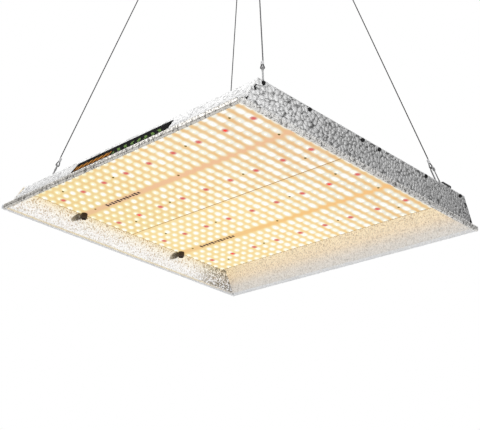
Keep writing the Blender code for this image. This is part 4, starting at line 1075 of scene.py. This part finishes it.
def make_floor():
    g = Graph("pale_floor")
    pale = g.ramp(g.grain(40, 2), [(0.3, (0.845, 0.845, 0.840)), (0.7, (0.855, 0.855, 0.850))])
    g.finish(Base_Color=pale, Roughness=0.8)
    mesh = bpy.data.meshes.new("floor")
    reach, height = 30.0, -0.72
    corners = [(x * reach, y * reach, height) for x, y in ((-1, -1), (1, -1), (1, 1), (-1, 1))]
    mesh.from_pydata(corners, [], [(0, 1, 2, 3)])
    mesh.materials.append(g.owner)
    floor = bpy.data.objects.new("floor", mesh)
    bpy.context.scene.collection.objects.link(floor)


def add_softbox(name, place, target, size, power):
    light = bpy.data.lights.new(name, "AREA")
    light.shape = "RECTANGLE"
    light.size, light.size_y = size
    light.energy = power
    made = bpy.data.objects.new(name, light)
    made.location = place
    made.rotation_euler = (Vector(target) - Vector(place)).to_track_quat("-Z", "Y").to_euler()
    bpy.context.scene.collection.objects.link(made)


def make_camera():
    """Below the lamp and in front of its right front corner, looking up."""
    camera = bpy.data.cameras.new("camera")
    camera.sensor_width = 36
    camera.lens = 75.81
    made = bpy.data.objects.new("camera", camera)
    bpy.context.scene.collection.objects.link(made)
    yaw, pitch, roll = (math.radians(angle) for angle in (137.559, 23.246, 4.363))
    forward = Vector((math.cos(yaw) * math.cos(pitch), math.sin(yaw) * math.cos(pitch), math.sin(pitch)))
    level_right = forward.cross(Vector((0, 0, 1))).normalized()
    level_up = level_right.cross(forward)
    right = level_right * math.cos(roll) + level_up * math.sin(roll)
    up = level_up * math.cos(roll) - level_right * math.sin(roll)
    turn = Matrix((right, up, -forward)).transposed().to_4x4()
    made.matrix_world = Matrix.Translation((0.968, -0.878, -0.553)) @ turn
    bpy.context.scene.camera = made


def main():
    for side_name, side in (("front", -1), ("rear", 1)):
        make_pan_wall(f"hood_wall_{side_name}", side)
        make_chips(side_name)
        make_board_screws(side_name)
        make_print_marks(side_name)
        make_gland_nut(side_name)
        soften(f"led_board_{side_name}", "board")
        soften(f"cable_gland_{side_name}", "gland")
        soften(f"dc_cable_{side_name}", "black_rubber", 1)
    make_board_edges()
    make_pan_top()
    for side_name, side in (("left", -1), ("right", 1)):
        make_end_plate(f"end_plate_hammered_{side_name}", f"end_plate_{side_name}", side)
        make_end_screws(side_name, side)
        make_corner_fasteners(side_name, side)
        soften(f"driver_end_cap_{side_name}", "powder_coat")
    make_driver_screws()
    make_knob()
    for corner_name, corner in CORNERS.items():
        make_wire(corner_name, corner)
        for node in ("hanging_eye", "snap_hook", "hook_gate"):
            soften(f"{node}_{corner_name}", "hook_steel")
    plain = {
        "label_plate": "label", "heat_spreader": "plain_aluminium", "driver_case": "powder_coat",
        "driver_circuit": "circuit", "mains_plug": "black_rubber", "cord_tie": "black_rubber",
        "dimmer_box": "black_plastic", "dimmer_potentiometer": "circuit", "dimmer_shaft": "plain_aluminium",
        "top_hook": "bright_steel", "top_hook_gate": "bright_steel",
    }
    for node, look in plain.items():
        soften(node, look)
    for node in ("mains_cord", "dimmer_cable"):
        soften(node, "black_rubber", 2)
    make_world()
    make_floor()
    add_softbox("key", (-1.6, -2.2, 1.9), (0, 0, 0), (1.6, 1.0), 13)
    add_softbox("side", (2.6, 1.6, 1.2), (0.24, 0, 0), (0.7, 1.4), 4)
    make_camera()
    bpy.context.scene.view_settings.view_transform = "Standard"


main()
